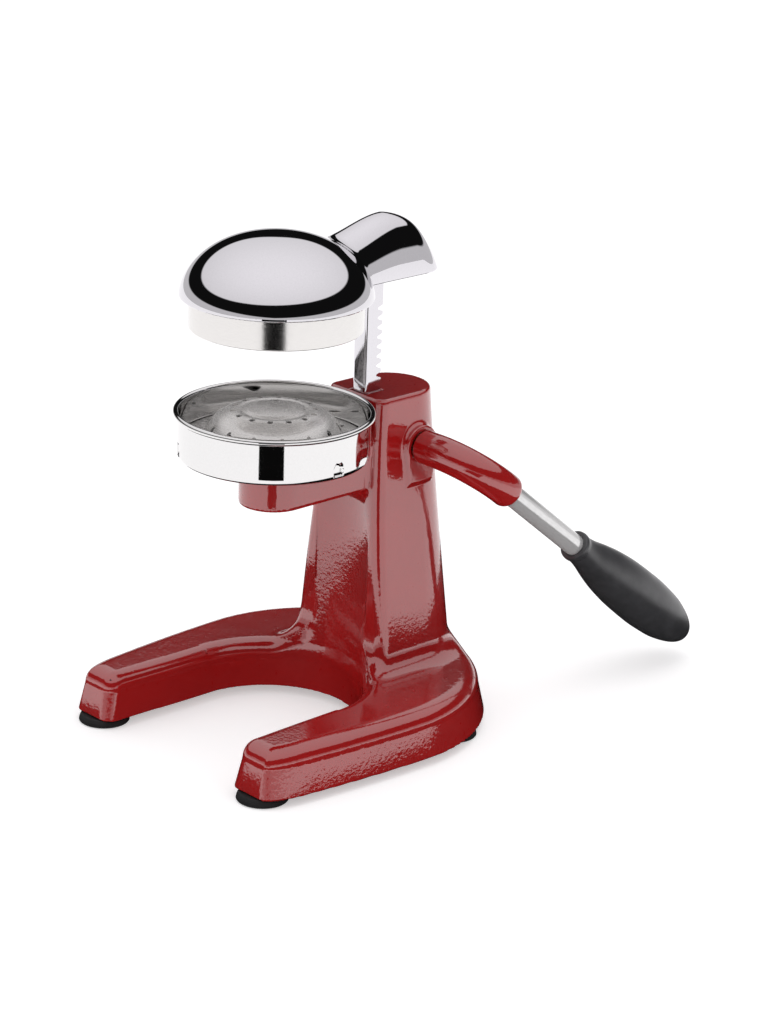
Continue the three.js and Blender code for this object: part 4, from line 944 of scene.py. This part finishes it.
class PRESS_OT_rack(Piece):
    """Builds the toothed rack bar"""

    bl_idname = "press.rack"
    bl_label = "Rack bar"

    def build(self, s):
        half, front, tip = RACK_HIGH[0], RACK_LOW[1], RACK_HIGH[1]
        low, high = RACK_LOW[2], RACK_HIGH[2]
        corner, bevel, middle = 2.5, 0.4, (front + tip) / 2
        plan = [
            (half - corner + corner * math.cos(a), front + corner + corner * math.sin(a))
            for a in np.linspace(-math.pi / 2, 0, 8)
        ]
        plan += [(half, tip - bevel), (half - bevel, tip)]
        plan += [(-x, y) for x, y in plan[::-1]]
        levels = [(low, bevel), (low + bevel, 0), (high, 0)]
        points, faces = [], []
        for z, inset in levels:
            scale = 1 - inset / half
            points += [(x * scale, y + (inset if y < middle else -inset), z) for x, y in plan]
        n = len(plan)
        for k in range(0, n * (len(levels) - 1), n):
            for i in range(n):
                j = (i + 1) % n
                faces.append((k + i, k + j, k + n + j, k + n + i))
        faces += [tuple(range(n))[::-1], tuple(range(n * (len(levels) - 1), n * len(levels)))]
        piece = outward(new_piece("rack_skin", points, faces, FINISHES["rack"]))
        self.cut_teeth(piece)
        outward(piece)
        smoothed(piece, 32)
        place(piece, "head", "rack_chrome", "rack_bar")

    def cut_teeth(self, piece):
        """Cuts evenly spaced tooth gaps into the rear of the bar."""
        pitch, gaps = 2 * math.pi, 21
        first = (0, (RACK_HIGH[1] - 1.8 + AXIS[1]) * MM, (SHAFT_Z - 6 * pitch) * MM)
        punch = Punch("tooth_gaps", "Pitch")
        offset = add_node(punch.tree, "ShaderNodeCombineXYZ", Z=punch.start["Pitch"])
        offset = offset.outputs["Vector"]
        row = {"Count": gaps, "Start_Location": first, "Offset": offset}
        row = punch.node("MeshLine", "Mesh", **row)
        cutter = punch.node("ObjectInfo", Object=self.gap(pitch))
        punch.run(piece, row, cutter, pitch)

    def gap(self, pitch):
        """One tooth gap with a rounded root, as a cutting block about the pitch line."""
        slope = math.tan(math.radians(20))
        out, deep, root, reach = 3.4, 2.6, 0.7, 9.0
        wide, narrow = pitch / 4 + out * slope, pitch / 4 - deep * slope
        corners = [(out, -wide), (-deep, -narrow), (-deep, narrow), (out, wide)]
        profile = rounded(corners, [0, root, root, 0], 4)
        n = len(profile)
        points = [(x * MM, y * MM, z * MM) for x in (-reach, reach) for y, z in profile]
        faces = [tuple(range(n)), tuple(range(n, 2 * n))[::-1]]
        faces += [(i, n + i, n + (i + 1) % n, (i + 1) % n) for i in range(n)]
        mesh = bpy.data.meshes.new("tooth_gap")
        mesh.from_pydata(points, [], faces)
        return outward(bpy.data.objects.new("tooth_gap", mesh))


class PRESS_OT_lever(Piece):
    """Builds the elbow, the tube and the grip of the lever"""

    bl_idname = "press.lever"
    bl_label = "Lever"

    def build(self, s):
        self.elbow()
        self.tube()
        self.grip()

    def elbow(self):
        radius, turn, length, socket_bore = 11.0, 35.0, 41.0, 7.5
        begin = about_axis("lever_elbow")[0][0]
        down = np.array([0.0, 0.0, -1.0])
        down_v, down_w = float(down @ LEVER_ALONG), float(down @ LEVER_ACROSS)

        def bar(u, v, w):
            """u along X, v along the lever, w across."""
            straight = np.hypot(v, w)
            lever = np.hypot(u - LEVER_X, w)
            arc = np.hypot(np.hypot(u - LEVER_X + turn, v - turn) - turn, w)
            line = np.where(v > turn, lever, np.where(u < LEVER_X - turn, straight, arc))
            body = round_meet(line - radius, v - length, 5)
            body = round_meet(body, begin - u, 2.4)
            socket = np.maximum(np.maximum(lever - socket_bore, 23 - v), 40 - u)
            shaft = np.maximum(straight - BUSH_BORE, u - 53)
            body = round_meet(body, -np.minimum(socket, shaft), 0.5)
            depth = v * down_v + w * down_w
            side = np.hypot(u - begin - 6, v * down_w - w * down_v)
            return round_meet(body, -np.maximum(side - 2.8, 6 - depth), 0.4)

        low = (begin - 2.2, -radius - 2.3, -radius - 2.1)
        high = (LEVER_X + radius + 2, length + 2, radius + 2)
        points, faces, normals = skin(bar, low, high, 0.85)

        def turned_in(p, base):
            across = p[:, 2:] * LEVER_ACROSS
            return base + p[:, :1] * np.array([1.0, 0, 0]) + p[:, 1:2] * LEVER_ALONG + across

        world = turned_in(points, np.array([0.0, SHAFT_Y, SHAFT_Z]))
        normals = turned_in(normals, np.zeros(3))
        piece = new_piece("elbow_skin", world, faces, FINISHES["enamel"], normals=normals)
        place(piece, "lever", "elbow_enamel", "lever_elbow")

    def tube(self):
        outer, inner, start, end = 7.2, 5.7, 23.0, 185.7
        corners = [(inner, start), (outer, start), (outer, end), (inner, end)]
        profile = rounded(corners, 0.4, 3, closed=True)
        points, faces = turned(profile, 96)
        piece = outward(new_piece("tube_skin", on_lever(points), faces, FINISHES["tube"], sharp=40))
        place(piece, "lever", "tube_chrome", "lever_tube")

    def grip(self):
        start, length, wide, bore, depth = 120.0, 146.5, 18.2, 7.5, 66
        shares = [(0.024, 0.571), (0.048, 0.544), (0.11, 0.6), (0.19, 0.736), (0.28, 0.863)]
        shares += [(0.375, 0.945), (0.455, 0.984), (0.55, 1), (0.63, 1), (0.71, 0.962)]
        shares += [(0.785, 0.907), (0.865, 0.77), (0.932, 0.594), (0.974, 0.385), (1, 0)]
        swell = smooth_curve([(r * wide, start + a * length) for a, r in shares], 7)
        corners = [(bore, start), (10.2, start), (10.5, start + 2.4), (10.39, start + 3.5)]
        collar = rounded(corners, [0, 0.9, 1, 0])
        socket = [(0, start + depth), (bore, start + depth)]
        profile = socket + collar[:-1] + swell[:-1] + [(0, swell[-1][1])]
        points, faces = turned(profile, 128, closed=False)
        piece = outward(new_piece("grip_skin", on_lever(points), faces, FINISHES["grip"], sharp=45))
        place(piece, "lever", "grip_black", "lever_grip")


class PRESS_OT_shaft_end(Piece):
    """Builds the domed nut and the washer on the far end of the shaft"""

    bl_idname = "press.shaft_end"
    bl_label = "Nut and washer"

    def build(self, s):
        low, high = about_axis("shaft_nut")
        sine = 0.866  # of 60 degrees
        flat = max(high[1] - low[1], high[2] - low[2]) / 2 * sine
        near, far = high[0], low[0]

        def nut(x, y, z):
            y, z = y - SHAFT_Y, z - SHAFT_Z
            slanted = np.maximum(np.abs(0.5 * z + sine * y), np.abs(0.5 * z - sine * y))
            hexagon = np.maximum(np.abs(z), slanted)
            reach = np.hypot(y, z)
            collar = round_meet(hexagon - flat, near - 9 - x, 0.5)
            collar = round_meet(collar, (reach - flat * 1.09) * 0.87 + (near - 7.4 - x) * 0.5, 0.3)
            crown = np.hypot(reach, x - near + 8.5) - (near - 8.5 - far)
            crown = np.maximum(crown, x - near + 5)
            body = round_union(collar, crown, 0.6)
            body = round_meet(body, x - near, 0.4)
            return round_meet(body, -np.maximum(reach - BUSH_BORE, near - 6.4 - x), 0.3)

        points, faces, normals = skin(nut, low - 1.31, high + 1.2, 0.45)
        piece = new_piece("nut_skin", points, faces, FINISHES["chrome"], normals=normals)
        place(piece, "lever", "nut_chrome", "shaft_nut")
        low, high = about_axis("shaft_washer")
        wide = (high[1] - low[1]) / 2
        corners = [(BUSH_BORE, low[0]), (wide, low[0]), (wide, high[0]), (BUSH_BORE, high[0])]
        profile = rounded(corners, 0.45, 4, closed=True)
        points, faces = turned(profile, 96)
        points = np.stack([points[:, 2], points[:, 0] + SHAFT_Y, points[:, 1] + SHAFT_Z], 1)
        piece = outward(new_piece("washer_skin", points, faces, FINISHES["steel"], sharp=40))
        place(piece, "lever", "steel", "shaft_washer")


class PRESS_OT_feet(Piece):
    """Builds the four rubber suction feet"""

    bl_idname = "press.feet"
    bl_label = "Feet"

    def build(self, s):
        for name in FEET:
            low, high = about_axis("foot_" + name)
            wide, tall = (high[0] - low[0]) / 2, high[2]
            cup = [(0, tall), (wide - 1.6, tall), (wide - 0.4, tall * 0.5), (wide, 0.7)]
            cup += [(wide - 0.5, 0), (wide - 2.4, 0.1), (9, 2.3), (5.4, 2.5), (5.4, 2.6), (0, 2.6)]
            profile = rounded(cup, [0, 1.1, 2, 0.4, 0.4, 0.8, 2, 0.3, 0.3, 0])
            points, faces = turned(profile, 72, closed=False)
            points = points + np.array([(low[0] + high[0]) / 2, (low[1] + high[1]) / 2, 0])
            name_ = "foot_" + name + "_skin"
            piece = outward(new_piece(name_, points, faces, FINISHES["rubber"], sharp=45))
            place(piece, "frame", "rubber", "foot_" + name)


class PRESS_OT_hardware(Piece):
    """Gives the small CAD parts their finishes"""

    bl_idname = "press.hardware"
    bl_label = "Hardware"

    def build(self, s):
        steel = ["pinion", "pinion_key", "pinion_shaft", "hub_set_screw", "press_cup_screw"]
        steel += ["rack_cross_pin_lower", "rack_cross_pin_upper", "rack_stop_pin"]
        steel += ["foot_screw_" + name for name in FEET]
        bronze = ["shaft_bush_right", "shaft_bush_left"]
        for finish, nodes in (("steel", steel), ("bronze", bronze)):
            for node in nodes:
                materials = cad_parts[node].data.materials
                materials.clear()
                materials.append(FINISHES[finish])


class PRESS_OT_stage(Piece):
    """Sets the floor, the soft lights, the dark cards and the camera"""

    bl_idname = "press.stage"
    bl_label = "Stage"

    def build(self, s):
        self.floor()
        self.world()
        self.cards()
        self.light()
        self.camera()
        bpy.context.scene.view_settings.view_transform = "Standard"

    def sheet(self, name, corners, material, hidden_from):
        """A flat sheet of the stage that some kinds of ray don't see."""
        mesh = bpy.data.meshes.new(name)
        mesh.from_pydata([tuple(p) for p in corners], [], [tuple(range(len(corners)))])
        mesh.materials.append(material)
        made = bpy.data.objects.new(name, mesh)
        bpy.context.scene.collection.objects.link(made)
        for ray in hidden_from:
            setattr(made, "visible_" + ray, False)

    def disc(self, name, radius, z, material, hidden_from):
        angles = np.arange(96) * FULL_TURN / 96
        ring = [(radius * math.cos(a), radius * math.sin(a), z) for a in angles]
        self.sheet(name, ring, material, hidden_from)

    def floor(self):
        f = Finish("pale_floor", (0.86, 0.86, 0.86), 0.9)
        f.shader.inputs["Specular IOR Level"].default_value = 0.0
        f.vary_colour(f.ranged(f.noise(3, 2), 0, 1), (0.85, 0.85, 0.85))
        f.shader.inputs["Emission Color"].default_value = (1, 1, 1, 1)
        f.shader.inputs["Emission Strength"].default_value = 0.42
        self.disc("floor", 6.0, -0.0004, f.material, ("glossy",))
        self.disc("table", 5.0, -0.0002, f.material, ONLY_REFLECTED)

    def world(self):
        """A bright tent over a dark band above the horizon for reflections, and a pale backdrop."""
        world = bpy.data.worlds.new("studio")
        bpy.context.scene.world = world
        world.use_nodes = True
        tree = world.node_tree

        def maths(operation, a, b, clamp=False):
            made = add_node(tree, "ShaderNodeMath", operation, _0=a, _1=b)
            made.use_clamp = clamp
            return made.outputs[0]

        way = add_node(tree, "ShaderNodeTexCoord").outputs["Generated"]
        height = add_node(tree, "ShaderNodeSeparateXYZ", _0=way).outputs["Z"]
        ahead, aside = (
            add_node(tree, "ShaderNodeVectorMath", "DOT_PRODUCT", _0=way, _1=along).outputs["Value"]
            for along in (VIEW_AHEAD, VIEW_ACROSS)
        )
        sharp, backdrop = 40.0, 0.93  # sharpness of the band's edges, brightness behind the press
        edge = maths("ADD", maths("MULTIPLY", ahead, 0.07), 0.465)
        edge = maths("ADD", edge, maths("MULTIPLY", aside, 0.06))
        above = maths("MULTIPLY", maths("SUBTRACT", height, edge), sharp, True)
        glow = maths("ADD", maths("MULTIPLY", height, 0.35), 0.68)
        sideways = maths("ABSOLUTE", aside, 0.0)
        low_edge = maths("ADD", maths("MULTIPLY", sideways, 0.08), 0.06)
        below = maths("MULTIPLY", maths("SUBTRACT", low_edge, height), sharp, True)
        tent = maths("ADD", maths("MULTIPLY", above, glow), maths("MULTIPLY", below, 0.62))
        tent = maths("ADD", tent, 0.006)
        soft = maths("ADD", maths("MULTIPLY", height, 0.25), 0.62)
        ray = add_node(tree, "ShaderNodeLightPath").outputs
        strength = mix_of(tree, "FLOAT", ray["Is Diffuse Ray"], tent, soft)
        strength = mix_of(tree, "FLOAT", ray["Is Camera Ray"], strength, backdrop)
        tree.links.new(strength, tree.nodes["Background"].inputs["Strength"])
        tree.nodes["Background"].inputs["Color"].default_value = (1.0, 0.985, 1.0, 1)

    def cards(self):
        """Dark cards that only reflections see: a disc under the press as painted shade of the floor
        around it, and a strip lying in front.
        """
        f = Finish("dark_card", (0.004, 0.004, 0.004), 0.9)
        f.shader.inputs["Specular IOR Level"].default_value = 0.0
        # painted shade: a dark disc that only reflections see, standing for the shaded floor under
        # and around the press
        self.disc("card_under", 0.31, 0.0006, f.material, ONLY_REFLECTED)
        near, far, height, spread = 0.42, 4.9, 0.002, math.tan(math.radians(14.0))
        centre = Vector((0, AXIS[1] * MM, height))
        corners = [
            centre + VIEW_AHEAD * reach + VIEW_ACROSS * side * reach * spread
            for reach, side in ((near, -1), (near, 1), (far, 1), (far, -1))
        ]
        self.sheet("card_front", corners, f.material, ONLY_REFLECTED)

    def light(self):
        """One soft light overhead, aimed at the press."""
        data = bpy.data.lights.new("overhead", "AREA")
        data.shape = "RECTANGLE"
        data.size = data.size_y = 0.9
        data.energy = 3.5
        light = bpy.data.objects.new("overhead", data)
        light.location = (0.25, 0.2, 1.9)
        light.visible_camera = light.visible_glossy = False
        aim = Vector((0, 0, 0.1)) - light.location
        light.rotation_euler = aim.to_track_quat("-Z", "Y").to_euler()
        bpy.context.scene.collection.objects.link(light)

    def camera(self):
        back = VIEW_AHEAD * math.cos(VIEW_RISE) + Vector((0, 0, math.sin(VIEW_RISE)))
        right, up = VIEW_ACROSS, back.cross(VIEW_ACROSS)
        right, up = (
            right * math.cos(VIEW_ROLL) + up * math.sin(VIEW_ROLL),
            up * math.cos(VIEW_ROLL) - right * math.sin(VIEW_ROLL),
        )
        data = bpy.data.cameras.new("camera")
        data.lens = 109.76
        data.sensor_width = 36
        data.clip_end = 50
        camera = bpy.data.objects.new("camera", data)
        turn = Matrix((right, up, back)).transposed().to_4x4()
        camera.matrix_world = Matrix.Translation(VIEW_PLACE) @ turn
        bpy.context.scene.collection.objects.link(camera)
        bpy.context.scene.camera = camera


PIECES = (
    PRESS_OT_finishes,
    PRESS_OT_casting,
    PRESS_OT_head_cover,
    PRESS_OT_press_cup,
    PRESS_OT_funnel,
    PRESS_OT_strainer,
    PRESS_OT_rack,
    PRESS_OT_lever,
    PRESS_OT_shaft_end,
    PRESS_OT_feet,
    PRESS_OT_hardware,
    PRESS_OT_stage,
)


class PRESS_PT_sidebar(bpy.types.Panel):
    """Lists the settings and the builders of the press"""

    bl_label = "Citrus press"
    bl_idname = "PRESS_PT_sidebar"
    bl_space_type = "VIEW_3D"
    bl_region_type = "UI"
    bl_category = "Press"

    def draw(self, context):
        s = context.scene.citrus_press
        for group in (s.casting, s.head, s.funnel, s.finish):
            box = self.layout.box()
            for key in group.__annotations__:
                box.prop(group, key)
        for piece in PIECES:
            self.layout.operator(piece.bl_idname)


GROUPS = (CastingSizes, HeadSizes, FunnelSizes, FinishColours, PressSettings)
CLASSES = (*GROUPS, *PIECES, PRESS_PT_sidebar)


def register():
    for item in CLASSES:
        bpy.utils.register_class(item)
    bpy.types.Scene.citrus_press = bpy.props.PointerProperty(type=PressSettings)


def unregister():
    del bpy.types.Scene.citrus_press
    for item in reversed(CLASSES):
        bpy.utils.unregister_class(item)


def main():
    register()
    for piece in PIECES:
        group, name = piece.bl_idname.split(".")
        getattr(getattr(bpy.ops, group), name)()


if __name__ == "__main__":
    main()
